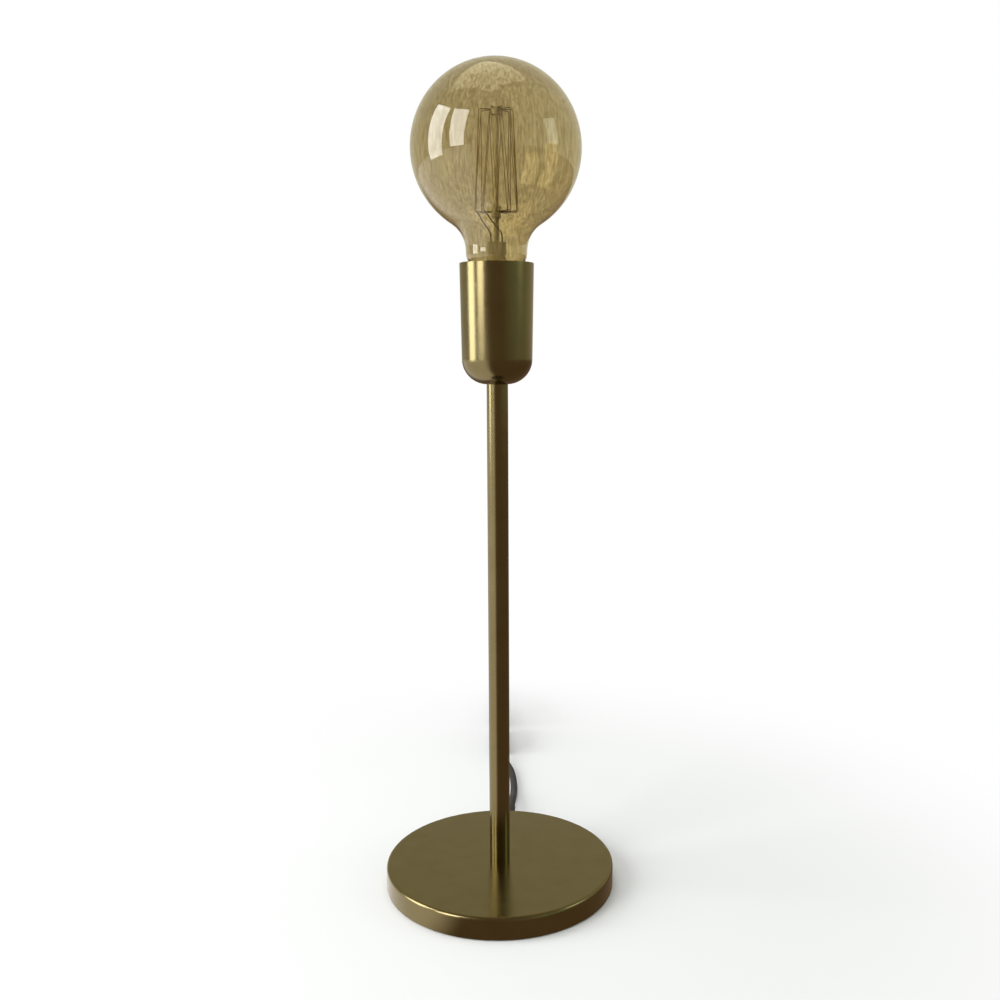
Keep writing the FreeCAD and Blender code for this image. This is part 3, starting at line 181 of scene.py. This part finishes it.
def amber_glass():
    """Thin blown soda glass with an amber tint: clear, smoky gold, with fine drawn streaks.

    The streaks are 1.3 mm wide and seven times as long.
    """
    made, tree, shader = material("amber tinted blown glass", "#CBBE96", 0.0, 0.015)
    shader.inputs["IOR"].default_value = 1.5
    shader.inputs["Transmission Weight"].default_value = 1.0
    place = add(tree, "ShaderNodeTexCoord").outputs["Object"]
    drawn = add(tree, "ShaderNodeMapping", {"Vector": place, "Scale": (1.0, 1.0, 0.14)})
    streaks = add(tree, "ShaderNodeTexNoise", {
        "Vector": drawn.outputs["Vector"], "Scale": 1 / 0.0013, "Detail": 2.0,
    })
    level = add(tree, "ShaderNodeMapRange", {
        "Value": streaks.outputs["Fac"], "From Min": 0.36, "From Max": 0.62,
    })
    tint = add(tree, "ShaderNodeMix", {"Factor": level.outputs["Result"]}, data_type="RGBA")
    tint.inputs[6].default_value = linear("#B9AB84")
    tint.inputs[7].default_value = linear("#D3C9A8")
    tree.links.new(tint.outputs[2], shader.inputs["Base Color"])
    return made


def clear_glass():
    """Drawn glass tube and rod: clear glass given a pale cream, mostly opaque colour, which is a painted
    highlight for the light the clear rod catches.
    """
    made, tree, shader = material("drawn glass rod", "#F4F2EA", 0.0, 0.2)
    shader.inputs["IOR"].default_value = 1.52
    shader.inputs["Transmission Weight"].default_value = 0.2
    mottled(tree, shader, 0.004, "#E6E0C8", "#F4F0DE")
    return made


def support_wire():
    """Drawn nickel wire, dulled by the sealing heat."""
    made, tree, shader = material("drawn nickel wire", "#6F6A5E", 1.0, 0.4)
    mottled(tree, shader, 0.002, "#5F5A4F", "#837D70")
    return made


def carbon_thread():
    """Carbonised filament thread: brown and dull."""
    made, tree, shader = material("carbon filament thread", "#B09A6C", 0.0, 0.6)
    mottled(tree, shader, 0.002, "#A08C60", "#C0AC7E")
    return made


def moulded_plastic():
    """Black moulded plastic: matt, with a fine spark-eroded grain."""
    made, tree, shader = material("black moulded plastic", "#1B1B1C", 0.0, 0.48)
    place = mottled(tree, shader, 0.008, "#171718", "#232324")[0]
    grain = add(tree, "ShaderNodeTexNoise", {"Vector": place, "Scale": 1 / 0.0006, "Detail": 2.0})
    bumped(tree, shader, grain.outputs["Fac"], 0.00004)
    return made


def soft_vinyl():
    """Flexible black vinyl: smooth, dull and slightly dusty."""
    made, tree, shader = material("flexible black vinyl", "#1E1D1C", 0.0, 0.6)
    mottled(tree, shader, 0.005, "#191817", "#282725")
    return made


def core_vinyl():
    """Brown vinyl insulation of a core."""
    made, tree, shader = material("brown core vinyl", "#5B3A22", 0.0, 0.45)
    mottled(tree, shader, 0.005, "#50321C", "#66432A")
    return made


SATIN_BRASS = satin_brass()
CAST_IRON = cast_iron()
FOAM_RUBBER = foam_rubber()
ZINC_PLATE = zinc_plate()
STAMPED_BRASS = stamped_brass()
THERMOSET = thermoset()
CAP_METAL = cap_metal()
FUSED_GLASS = fused_glass()
AMBER_GLASS = amber_glass()
CLEAR_GLASS = clear_glass()
SUPPORT_WIRE = support_wire()
CARBON_THREAD = carbon_thread()
MOULDED_PLASTIC = moulded_plastic()
SOFT_VINYL = soft_vinyl()
CORE_VINYL = core_vinyl()


BRAID_PERIOD = 3.2 * MM
BRAID_ROUND = 5


def braid_material(name, length):
    """Black cotton braid for a cord of this length: matt thread in crossed diagonals.

    U runs along the cord and v once round it. The two waves' product repeats every 1.6 mm. The
    real braid repeats every 0.8 mm, and it is drawn twice as coarse to show in the render.
    """
    made, tree, shader = material(name, "#262220", 0.0, 0.85)
    shader.inputs["Sheen Weight"].default_value = 0.1
    place = add(tree, "ShaderNodeTexCoord").outputs["UV"]
    split = add(tree, "ShaderNodeSeparateXYZ", {"Vector": place})
    along = add(tree, "ShaderNodeMath", {
        0: split.outputs["X"], 1: math.tau * length / BRAID_PERIOD,
    }, operation="MULTIPLY")
    round_ = add(tree, "ShaderNodeMath", {
        0: split.outputs["Y"], 1: math.tau * BRAID_ROUND,
    }, operation="MULTIPLY")
    waves = []
    for way in ("ADD", "SUBTRACT"):
        phase = add(tree, "ShaderNodeMath", {0: along.outputs[0], 1: round_.outputs[0]}, operation=way)
        waves.append(add(tree, "ShaderNodeMath", {0: phase.outputs[0]}, operation="SINE").outputs[0])
    weave = add(tree, "ShaderNodeMath", {0: waves[0], 1: waves[1]}, operation="MULTIPLY")
    level = add(tree, "ShaderNodeMapRange", {"Value": weave.outputs[0], "From Min": -1.0})
    tone = add(tree, "ShaderNodeMix", {"Factor": level.outputs["Result"]}, data_type="RGBA")
    tone.inputs[6].default_value = linear("#0E0C0B")
    tone.inputs[7].default_value = linear("#2B2522")
    tree.links.new(tone.outputs[2], shader.inputs["Base Color"])
    bumped(tree, shader, level.outputs["Result"], 0.0003)
    return made


# ---------------------------------------------------------------- shapes


def surface(name, points, finish, closed_u=False, closed_v=False, body="lamp"):
    """A grid of points, rows by columns by 3, as one mesh of quads; closed ways are joined round."""
    rows, columns = points.shape[:2]
    index = np.arange(rows * columns).reshape(rows, columns)
    first = np.arange(rows if closed_u else rows - 1)
    second = np.arange(columns if closed_v else columns - 1)
    i, j = np.meshgrid(first, second, indexing="ij")
    i2, j2 = (i + 1) % rows, (j + 1) % columns
    quads = np.stack([index[i, j], index[i, j2], index[i2, j2], index[i2, j]], -1).reshape(-1, 4)
    mesh = bpy.data.meshes.new(name)
    mesh.from_pydata(points.reshape(-1, 3).tolist(), [], quads.tolist())
    mesh.validate()
    work = bmesh.new()
    work.from_mesh(mesh)
    bmesh.ops.remove_doubles(work, verts=work.verts, dist=1e-6)
    bmesh.ops.recalc_face_normals(work, faces=work.faces)
    work.to_mesh(mesh)
    work.free()
    mesh.polygons.foreach_set("use_smooth", np.full(len(mesh.polygons), True))
    mesh.materials.append(finish)
    piece = bpy.data.objects.new(name, mesh)
    bpy.context.collection.objects.link(piece)
    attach(piece, body)
    return piece


def turned(name, profile, finish, body="lamp", sides=96, matrix=None):
    """A profile of (radius, height) turned about Z: x = r cos a, y = r sin a, z = h."""
    profile = np.asarray(profile, float)
    angle = np.linspace(0, math.tau, sides, endpoint=False)
    radius, height = profile[:, 0][:, None], profile[:, 1][:, None]
    points = np.stack([
        radius * np.cos(angle), radius * np.sin(angle), height + 0 * angle,
    ], -1)
    if matrix is not None:
        turn = np.array(matrix.to_3x3())
        points = points @ turn.T + np.array(matrix.translation)
    return surface(name, points, finish, closed_v=True, body=body)


def dress(node, finish):
    """Give a CAD node its finish."""
    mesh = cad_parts[node].data
    mesh.materials.clear()
    mesh.materials.append(finish)


def soft_edged(node, finish, width, body="lamp"):
    """A merged copy of a CAD node with its moulded edges rounded by a small bevel."""
    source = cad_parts[node]
    mesh = source.data.copy()
    mesh.transform(source.matrix_world)
    work = bmesh.new()
    work.from_mesh(mesh)
    bmesh.ops.remove_doubles(work, verts=work.verts, dist=2e-6)
    bmesh.ops.dissolve_limit(
        work, angle_limit=math.radians(1), verts=work.verts, edges=work.edges,
    )
    bmesh.ops.recalc_face_normals(work, faces=work.faces)
    work.to_mesh(mesh)
    work.free()
    mesh.materials.clear()
    mesh.materials.append(finish)
    mesh.polygons.foreach_set("use_smooth", np.full(len(mesh.polygons), True))
    piece = bpy.data.objects.new(f"{node}_soft", mesh)
    bpy.context.collection.objects.link(piece)
    bevel = piece.modifiers.new("edge", "BEVEL")
    bevel.width = width
    bevel.segments = 3
    bevel.limit_method = "ANGLE"
    bevel.angle_limit = math.radians(40)
    bevel.harden_normals = True
    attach(piece, body)
    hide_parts(node)
    return piece


def arc(centre, radius, start, end, count):
    """Points (radius, height) on an arc about centre, angles in degrees from the +radius way."""
    angle = np.radians(np.linspace(start, end, count))
    return np.stack([centre[0] + radius * np.cos(angle), centre[1] + radius * np.sin(angle)], -1)


# ---------------------------------------------------------------- globe of the bulb

GLASS_WALL = 0.8 * MM
GLOBE_RADIUS = GLASS_HIGH.x
GLOBE_CENTRE = GLASS_HIGH.z - GLOBE_RADIUS
NECK_RADIUS = 17.4 * MM
FLARE_RADIUS = 18 * MM
SHOULDER_RADIUS = 10 * MM
SHOULDER_HEIGHT = CUP_HIGH.z + 5.6 * MM
SEAL_RADIUS = 12.3 * MM


def globe_profile(inset):
    """From the pole down the sphere, out round the flare, down the neck and in at the shoulder."""
    sphere = GLOBE_RADIUS - inset
    flare_x = NECK_RADIUS + FLARE_RADIUS
    flare = FLARE_RADIUS + inset
    flare_z = GLOBE_CENTRE - math.sqrt((sphere + flare) ** 2 - flare_x ** 2)
    meet = math.degrees(math.atan2(flare_z - GLOBE_CENTRE, flare_x))
    shoulder = SHOULDER_RADIUS - inset
    shoulder_x = NECK_RADIUS - SHOULDER_RADIUS
    turn = math.degrees(math.acos((SEAL_RADIUS - inset - shoulder_x) / shoulder))
    return np.concatenate([
        arc((0, GLOBE_CENTRE), sphere, 90, meet, 72),
        arc((flare_x, flare_z), flare, 180 + meet, 180, 14)[1:],
        arc((shoulder_x, SHOULDER_HEIGHT), shoulder, 0, -turn, 10),
        [(SEAL_RADIUS - inset, GLASS_LOW.z)],
    ])


globe_line = np.concatenate([globe_profile(0), globe_profile(GLASS_WALL)[::-1]])
globe = turned("blown_globe", globe_line, AMBER_GLASS, body="bulb", sides=128)
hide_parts("bulb_glass")

# ---------------------------------------------------------------- rolled threads

THREAD_PITCH = 3.629 * MM
THREAD_DEPTH = 0.45 * MM
THREAD_SIDES = 72
CAP_WALL = 0.4 * MM
SHELL_WALL = 0.3 * MM


def threaded(name, radius, depth, low, high, finish, body, wall, lip=()):
    """A rolled thread: radius falls by depth times (1 - cos(turn - 2 pi z / pitch)) / 2.

    The thread fades out over the last pitch at both ends. The wall is a second skin inside.
    """
    count = int((high - low) / THREAD_PITCH * 16)
    angle = np.linspace(0, math.tau, THREAD_SIDES, endpoint=False)[None, :]
    height = np.linspace(low, high, count)[:, None]
    fade = np.clip(np.minimum(height - low, high - height) / THREAD_PITCH, 0, 1)
    wave = (1 - np.cos(angle - math.tau * (height - low) / THREAD_PITCH)) / 2
    outer = radius - depth * fade * wave
    line = np.concatenate([outer, outer[::-1] - wall])
    level = np.concatenate([height, height[::-1]]) + 0 * angle
    for edge_radius, edge_height in lip:
        row = np.ones((1, THREAD_SIDES))
        line = np.concatenate([line[:count], edge_radius * row, line[count:]])
        level = np.concatenate([level[:count], edge_height * row, level[count:]])
        count += 1
    points = np.stack([line * np.cos(angle), line * np.sin(angle), level], -1)
    return surface(name, points, finish, closed_u=True, closed_v=True, body=body)


CAP_RADIUS = 13 * MM
CAP_FLARE = CAP_HIGH.z - 2.6 * MM
bulb_thread = threaded(
    "rolled_cap_thread", CAP_RADIUS, THREAD_DEPTH, CAP_LOW.z, CAP_FLARE, CAP_METAL, "bulb", CAP_WALL,
    lip=((CAP_HIGH.x, CAP_HIGH.z), (CAP_HIGH.x - CAP_WALL, CAP_HIGH.z)),
)
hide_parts("bulb_cap")
holder_thread = threaded(
    "rolled_shell_thread", SHELL_HIGH.x, THREAD_DEPTH, SHELL_LOW.z, SHELL_HIGH.z, STAMPED_BRASS,
    "lamp", SHELL_WALL,
)
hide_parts("thread_shell")

# ---------------------------------------------------------------- cord

CORD_DIAMETER = 5 * MM
CORD_RADIUS = CORD_DIAMETER / 2
EXIT_TURN = math.radians(-5.4)
EXIT_HEIGHT = 6.6 * MM
RELIEF_TIP = 90 * MM
LANE = 1 * MM
SWITCH_START = CASE_LOW.y
SWITCH_END = CASE_HIGH.y
SWITCH_MIDDLE = CASE_HIGH.z / 2


def out_of_base(reach):
    """The point at this distance along the cord's way out of the base."""
    return (-math.sin(EXIT_TURN) * reach, math.cos(EXIT_TURN) * reach, EXIT_HEIGHT)


FREE_ROUTE = [
    out_of_base(RELIEF_TIP),
    out_of_base(RELIEF_TIP + 12 * MM),
    (10.7 * MM, 119 * MM, 3.2 * MM),
    (11.3 * MM, 133 * MM, CORD_RADIUS),
    (11 * MM, 147 * MM, CORD_RADIUS),
    (10.2 * MM, 160 * MM, CORD_RADIUS),
    (7.8 * MM, 171 * MM, 2.8 * MM),
    (3.6 * MM, 181.5 * MM, 5.6 * MM),
    (LANE, SWITCH_START - 10 * MM, SWITCH_MIDDLE),
    (LANE, SWITCH_START, SWITCH_MIDDLE),
]

HANK_PITCH = 5.9 * MM
HANK_FOLD = 12 * MM
HANK_START = 281 * MM
HANK_RUN = 81 * MM
BOOT_START = BOOT_LOW.y
PLUG_MIDDLE = PLUG_HIGH.z / 2
SAMPLE = 4.5 * MM


def arc_run(start, way, end):
    """Points on the arc that leaves start along way and ends at end: r sin a way + r (1 - cos a) side."""
    chord = end - start
    side = chord - way * chord.dot(way)
    reach = np.linalg.norm(chord)
    if np.linalg.norm(side) < 1e-9:
        count = max(2, round(reach / SAMPLE) + 1)
        return start + np.linspace(0, 1, count)[:, None] * chord
    side = side / np.linalg.norm(side)
    radius = reach ** 2 / (2 * chord.dot(side))
    turn = 2 * math.atan2(chord.dot(side), chord.dot(way))
    angle = np.linspace(0, turn, max(2, round(radius * turn / SAMPLE) + 1))[:, None]
    return start + radius * (np.sin(angle) * way + (1 - np.cos(angle)) * side)


def biarc_run(start, start_way, end, end_way):
    """Points on the two arcs that join start and end along their ways."""
    chord = end - start
    ways = start_way + end_way
    lead = 2 * (1 - start_way.dot(end_way))
    along = chord.dot(ways)
    if abs(lead) < 1e-9:
        if np.linalg.norm(np.cross(chord, start_way)) < 1e-9:
            return arc_run(start, start_way, end)
        reach = chord.dot(chord) / (4 * chord.dot(end_way))
    else:
        reach = (-along + math.sqrt(along ** 2 + lead * chord.dot(chord))) / lead
    joint = (start + start_way * reach + end - end_way * reach) / 2
    return np.concatenate([
        arc_run(start, start_way, joint),
        arc_run(end, -end_way, joint)[::-1][1:],
    ])


def hank_stations():
    """Where the hank's cord passes and its way there: three lanes of loops drawn in at the tie."""
    fold = {"in": HANK_FOLD, "out": HANK_FOLD + HANK_PITCH}
    waist = {"in": HANK_PITCH / 2, "out": HANK_PITCH * 1.5}
    far = HANK_START + HANK_RUN
    middle = HANK_START + HANK_RUN / 2
    axis = fold["out"] + CORD_RADIUS
    back, front, up, down = np.array([(0, 1, 0), (0, -1, 0), (0, 0, 1), (0, 0, -1)], float)
    stops = [
        (np.array([LANE, SWITCH_END, SWITCH_MIDDLE]), back),
        (np.array([LANE, SWITCH_END + CORD_DIAMETER, SWITCH_MIDDLE]), back),
    ]

    def stop(lane, y, z, way):
        stops.append((np.array([LANE + (lane - 1) * HANK_PITCH, y, axis + z]), way))

    loops = (
        (0, "out", "out", "out", "in", 0),
        (0, "in", "in", "in", "in", 1),
        (1, "in", "in", "in", "in", 2),
        (2, "in", "out", "out", "out", 2),
    )
    for lane, low, high, belt, last, next_lane in loops:
        stop(lane, HANK_START, -fold[low], back)
        stop(lane, middle, -waist[low], back)
        stop(lane, far, -fold[low], back)
        stop(lane, far + (fold[low] + fold[high]) / 2, (fold[high] - fold[low]) / 2, up)
        stop(lane, far, fold[high], front)
        stop(next_lane, middle, waist[belt], front)
        stop(next_lane, HANK_START, fold[last], front)
        stop(next_lane, HANK_START - fold[last], 0, down)
    stop(2, HANK_START, -fold["out"], back)
    stop(2, middle, -waist["out"], back)
    stop(2, far, -fold["out"], back)
    stops.append((np.array([LANE, BOOT_START - CORD_DIAMETER, PLUG_MIDDLE]), back))
    stops.append((np.array([LANE, BOOT_START, PLUG_MIDDLE]), back))
    return stops


def hank_route():
    """The hank's centreline, point by point along every arc."""
    stops = hank_stations()
    runs = [biarc_run(*first, *second) for first, second in zip(stops, stops[1:])]
    return np.concatenate([runs[0]] + [run[1:] for run in runs[1:]])


def cord_curve(name, route, finish):
    """A round cord as a smooth curve of the third order through its route's points."""
    curve = bpy.data.curves.new(name, "CURVE")
    curve.dimensions = "3D"
    curve.bevel_depth = CORD_RADIUS
    curve.bevel_resolution = 4
    curve.resolution_u = 6
    curve.use_fill_caps = True
    spline = curve.splines.new("NURBS")
    spline.points.add(len(route) - 1)
    for point, place in zip(spline.points, route):
        point.co = (*place, 1.0)
    spline.order_u = 3
    spline.use_endpoint_u = True
    curve.materials.append(finish)
    piece = bpy.data.objects.new(name, curve)
    bpy.context.collection.objects.link(piece)
    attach(piece, "lamp")
    return piece


def route_length(route):
    """The length of a run of points."""
    route = np.asarray(route, float)
    return float(np.linalg.norm(np.diff(route, axis=0), axis=1).sum())


hank_points = hank_route()
FREE_LENGTH = 115 * MM
HANK_LENGTH = route_length(hank_points)
free_cord = cord_curve("braided_cord", FREE_ROUTE, braid_material("braid of the free cord", FREE_LENGTH))
hank_cord = cord_curve("braided_hank", hank_points, braid_material("braid of the hank", HANK_LENGTH))
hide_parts("cord_free")
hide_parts("cord_hank")

# ---------------------------------------------------------------- soft fittings of the cord


def ribbed(name, matrix, length, near, far, finish, bore, ribs):
    """A tapered sleeve along +Z of its own frame, with shallow grooves all round it."""
    reach = np.linspace(0, 1, ribs * 8 + 1)
    radius = near + (far - near) * reach
    groove = 0.35 * MM * np.clip(np.sin(reach * math.tau * ribs), 0, 1) ** 0.5
    outer = np.stack([radius - groove, reach * length], -1)
    line = np.concatenate([[(bore, 0)], outer, [(bore, length)]])
    return turned(name, line, finish, sides=48, matrix=matrix)


def along_y(origin):
    """A frame at origin whose Z runs along +Y."""
    return Matrix.Translation(Vector(origin)) @ Matrix.Rotation(math.radians(-90), 4, "X")


boot = ribbed(
    "ribbed_boot", along_y((LANE, BOOT_START, PLUG_MIDDLE)), BOOT_HIGH.y - BOOT_START, 3 * MM, 4.4 * MM,
    SOFT_VINYL, CORD_RADIUS, 6,
)
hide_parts("plug_boot")

# ---------------------------------------------------------------- moulded housings

case_soft = soft_edged("switch_case", MOULDED_PLASTIC, 1.2 * MM)
lid_soft = soft_edged("switch_lid", MOULDED_PLASTIC, 0.35 * MM)
rocker_soft = soft_edged("rocker", MOULDED_PLASTIC, 0.6 * MM, body="rocker")
plug_soft = soft_edged("plug_body", MOULDED_PLASTIC, 1.2 * MM)
tie_soft = soft_edged("hank_tie", SOFT_VINYL, 0.25 * MM)
relief_soft = soft_edged("strain_relief", SOFT_VINYL, 0.25 * MM)

# ---------------------------------------------------------------- finishes of the CAD nodes

FINISHES = {
    "base_cover": SATIN_BRASS, "stem_tube": SATIN_BRASS, "cup": SATIN_BRASS,
    "base_weight": CAST_IRON, "base_pad": FOAM_RUBBER,
    "base_washer": ZINC_PLATE, "base_nut": ZINC_PLATE, "cord_clamp": ZINC_PLATE,
    "clamp_screws": ZINC_PLATE, "threaded_tube": ZINC_PLATE, "cup_washer": ZINC_PLATE,
    "cup_nut": ZINC_PLATE, "rocker_pin": ZINC_PLATE,
    "holder_base": THERMOSET, "terminal_block": THERMOSET, "holder_barrel": THERMOSET,
    "terminal_screws": STAMPED_BRASS, "centre_contact": STAMPED_BRASS, "side_contact": STAMPED_BRASS,
    "cap_contact": STAMPED_BRASS, "switch_contacts": STAMPED_BRASS, "plug_blades": STAMPED_BRASS,
    "cap_insulator": FUSED_GLASS,
    "glass_mount": CLEAR_GLASS, "exhaust_tube": CLEAR_GLASS, "glass_rod": CLEAR_GLASS,
    "filament": CARBON_THREAD, "low_hooks": SUPPORT_WIRE, "top_hooks": SUPPORT_WIRE,
    "lead_wires": SUPPORT_WIRE,
    "live_core": CORE_VINYL, "neutral_core": CORE_VINYL,
    "inner_sheath": SOFT_VINYL,
}
for node, finish in FINISHES.items():
    dress(node, finish)

# ---------------------------------------------------------------- floor, light and camera

world = bpy.data.worlds.new("studio")
bpy.context.scene.world = world
world.use_nodes = True
sky = world.node_tree
sky.nodes.clear()
ray = add(sky, "ShaderNodeLightPath")
seen = add(sky, "ShaderNodeMath", {
    0: ray.outputs["Is Camera Ray"], 1: ray.outputs["Is Transmission Ray"],
}, operation="MAXIMUM")
soft = add(sky, "ShaderNodeBackground", {"Color": (0.36, 0.37, 0.36, 1), "Strength": 1.0})
plain = add(sky, "ShaderNodeBackground", {"Color": (1, 1, 1, 1), "Strength": 1.0})
# Metal sees the white backdrop behind the lamp and the dimmer room in front of it.
way = add(sky, "ShaderNodeSeparateXYZ", {0: add(sky, "ShaderNodeTexCoord").outputs["Generated"]})
depth = add(sky, "ShaderNodeMapRange", {
    "Value": way.outputs["Y"], "From Min": -0.1, "From Max": 0.6,
}, interpolation_type="SMOOTHSTEP")
side = add(sky, "ShaderNodeMapRange", {
    "Value": way.outputs["X"], "From Min": 0.2, "From Max": 0.9,
}, interpolation_type="SMOOTHSTEP")
room = add(sky, "ShaderNodeMix", {"Factor": side.outputs["Result"]}, data_type="RGBA")
room.inputs[6].default_value = linear("#85745F")
room.inputs[7].default_value = linear("#A0A78E")
around = add(sky, "ShaderNodeMix", {"Factor": depth.outputs["Result"]}, data_type="RGBA")
sky.links.new(room.outputs[2], around.inputs[6])
around.inputs[7].default_value = linear("#C4BEA4")
gloss = add(sky, "ShaderNodeBackground", {"Color": around.outputs[2], "Strength": 1.0})
first = add(sky, "ShaderNodeMixShader", {
    0: ray.outputs["Is Glossy Ray"], 1: soft.outputs[0], 2: gloss.outputs[0],
})
both = add(sky, "ShaderNodeMixShader", {0: seen.outputs[0], 1: first.outputs[0], 2: plain.outputs[0]})
add(sky, "ShaderNodeOutputWorld", {"Surface": both.outputs[0]})

# The floor keeps its shadow round the lamp and turns to plain white further out.
FLOOR = 6.0
SHADOW_NEAR, SHADOW_FAR = 0.15, 0.42
floor_material, ground, floor_shader = material("pale studio floor", "#E4E4E2", 0.0, 0.9)
floor_ray = add(ground, "ShaderNodeLightPath")
floor_seen = add(ground, "ShaderNodeMath", {
    0: floor_ray.outputs["Is Camera Ray"], 1: floor_ray.outputs["Is Transmission Ray"],
}, operation="MAXIMUM")
floor_place = add(ground, "ShaderNodeTexCoord")
reach = add(ground, "ShaderNodeVectorMath", {0: floor_place.outputs["Object"]}, operation="LENGTH")
fade = add(ground, "ShaderNodeMapRange", {
    "Value": reach.outputs["Value"], "From Min": SHADOW_NEAR, "From Max": SHADOW_FAR,
}, interpolation_type="SMOOTHSTEP")
share = add(ground, "ShaderNodeMath", {
    0: fade.outputs["Result"], 1: floor_seen.outputs[0],
}, operation="MULTIPLY")
white = add(ground, "ShaderNodeEmission", {"Color": (1, 1, 1, 1), "Strength": 1.0})
floor_mix = add(ground, "ShaderNodeMixShader", {
    0: share.outputs[0], 1: floor_shader.outputs[0], 2: white.outputs[0],
})
# Painted reflection: glossy rays see the floor as an emission, near white to the left on the window side
# and dim brown elsewhere, so the metal shows a painted highlight from the floor.
heading = add(ground, "ShaderNodeVectorMath", {0: floor_place.outputs["Object"]}, operation="NORMALIZE")
painted_reflection_side = add(ground, "ShaderNodeMapRange", {
    "Value": add(ground, "ShaderNodeSeparateXYZ", {0: heading.outputs[0]}).outputs["X"],
    "From Min": -0.35, "From Max": -0.7,
}, interpolation_type="SMOOTHSTEP")
painted_floor_reflection = add(ground, "ShaderNodeMix", {"Factor": painted_reflection_side.outputs["Result"]}, data_type="RGBA")
painted_floor_reflection.inputs[6].default_value = linear("#7A6652")
painted_floor_reflection.inputs[7].default_value = linear("#FFFAF8")
# This glow is a painted reflection seen only by glossy rays; the floor is no lamp.
mirrored = add(ground, "ShaderNodeEmission", {"Color": painted_floor_reflection.outputs[2], "Strength": 1.15})
floor_whole = add(ground, "ShaderNodeMixShader", {
    0: floor_ray.outputs["Is Glossy Ray"], 1: floor_mix.outputs[0], 2: mirrored.outputs[0],
})
ground.links.new(floor_whole.outputs[0], ground.nodes["Material Output"].inputs["Surface"])
floor_mesh = bpy.data.meshes.new("floor")
floor_mesh.from_pydata(
    [(-FLOOR, -FLOOR, 0), (FLOOR, -FLOOR, 0), (FLOOR, FLOOR, 0), (-FLOOR, FLOOR, 0)], [], [(0, 1, 2, 3)],
)
floor_mesh.materials.append(floor_material)
floor = bpy.data.objects.new("floor", floor_mesh)
bpy.context.collection.objects.link(floor)


def window_light(name, place, width, height, power, colour, mirrored=True):
    """A soft window-sized area lamp that looks at the middle of the lamp."""
    lamp = bpy.data.lights.new(name, "AREA")
    lamp.shape = "RECTANGLE"
    lamp.size = width
    lamp.size_y = height
    lamp.energy = power
    lamp.color = linear(colour)[:3]
    holder = bpy.data.objects.new(name, lamp)
    bpy.context.collection.objects.link(holder)
    holder.location = place
    holder.rotation_euler = (LAMP_MIDDLE - Vector(place)).to_track_quat("-Z", "Y").to_euler()
    holder.visible_glossy = mirrored


LAMP_MIDDLE = Vector((0, 0, 0.3))
window_light("left window pane", (-1.8, -0.1, 0.9), 0.83, 1.6, 26, "#F6FAFF")
window_light("second window pane", (-1.42, -1.11, 1.0), 0.7, 1.4, 20, "#FAFCFF")
window_light("right window", (2.0, -0.4, 1.0), 0.7, 0.9, 4, "#EAF4E4")
window_light("high soft light", (-0.2, 0.2, 2.2), 1.6, 1.6, 26, "#FFFFFF", mirrored=False)

SENSOR = 36.0
FOCAL_PIXELS = 1054.875
FRAME_PIXELS = 1000
CENTRE_PIXELS = (526.10, 515.71)
CAMERA_PLACE = (-2.04 * MM, -614.67 * MM, 329.96 * MM)
CAMERA_PITCH, CAMERA_ROLL, CAMERA_YAW = 0.16128, -0.00127, 0.03023

camera_data = bpy.data.cameras.new("camera")
camera_data.sensor_width = SENSOR
camera_data.lens = SENSOR * FOCAL_PIXELS / FRAME_PIXELS
camera_data.shift_x = (FRAME_PIXELS / 2 - CENTRE_PIXELS[0]) / FRAME_PIXELS
camera_data.shift_y = (CENTRE_PIXELS[1] - FRAME_PIXELS / 2) / FRAME_PIXELS
camera_data.clip_start = 0.01
camera = bpy.data.objects.new("camera", camera_data)
bpy.context.collection.objects.link(camera)
camera.matrix_world = (
    Matrix.Translation(Vector(CAMERA_PLACE))
    @ Matrix.Rotation(-CAMERA_YAW, 4, "Z")
    @ Matrix.Rotation(math.pi / 2 - CAMERA_PITCH, 4, "X")
    @ Matrix.Rotation(CAMERA_ROLL, 4, "Z")
)
bpy.context.scene.camera = camera
bpy.context.scene.view_settings.view_transform = "Standard"
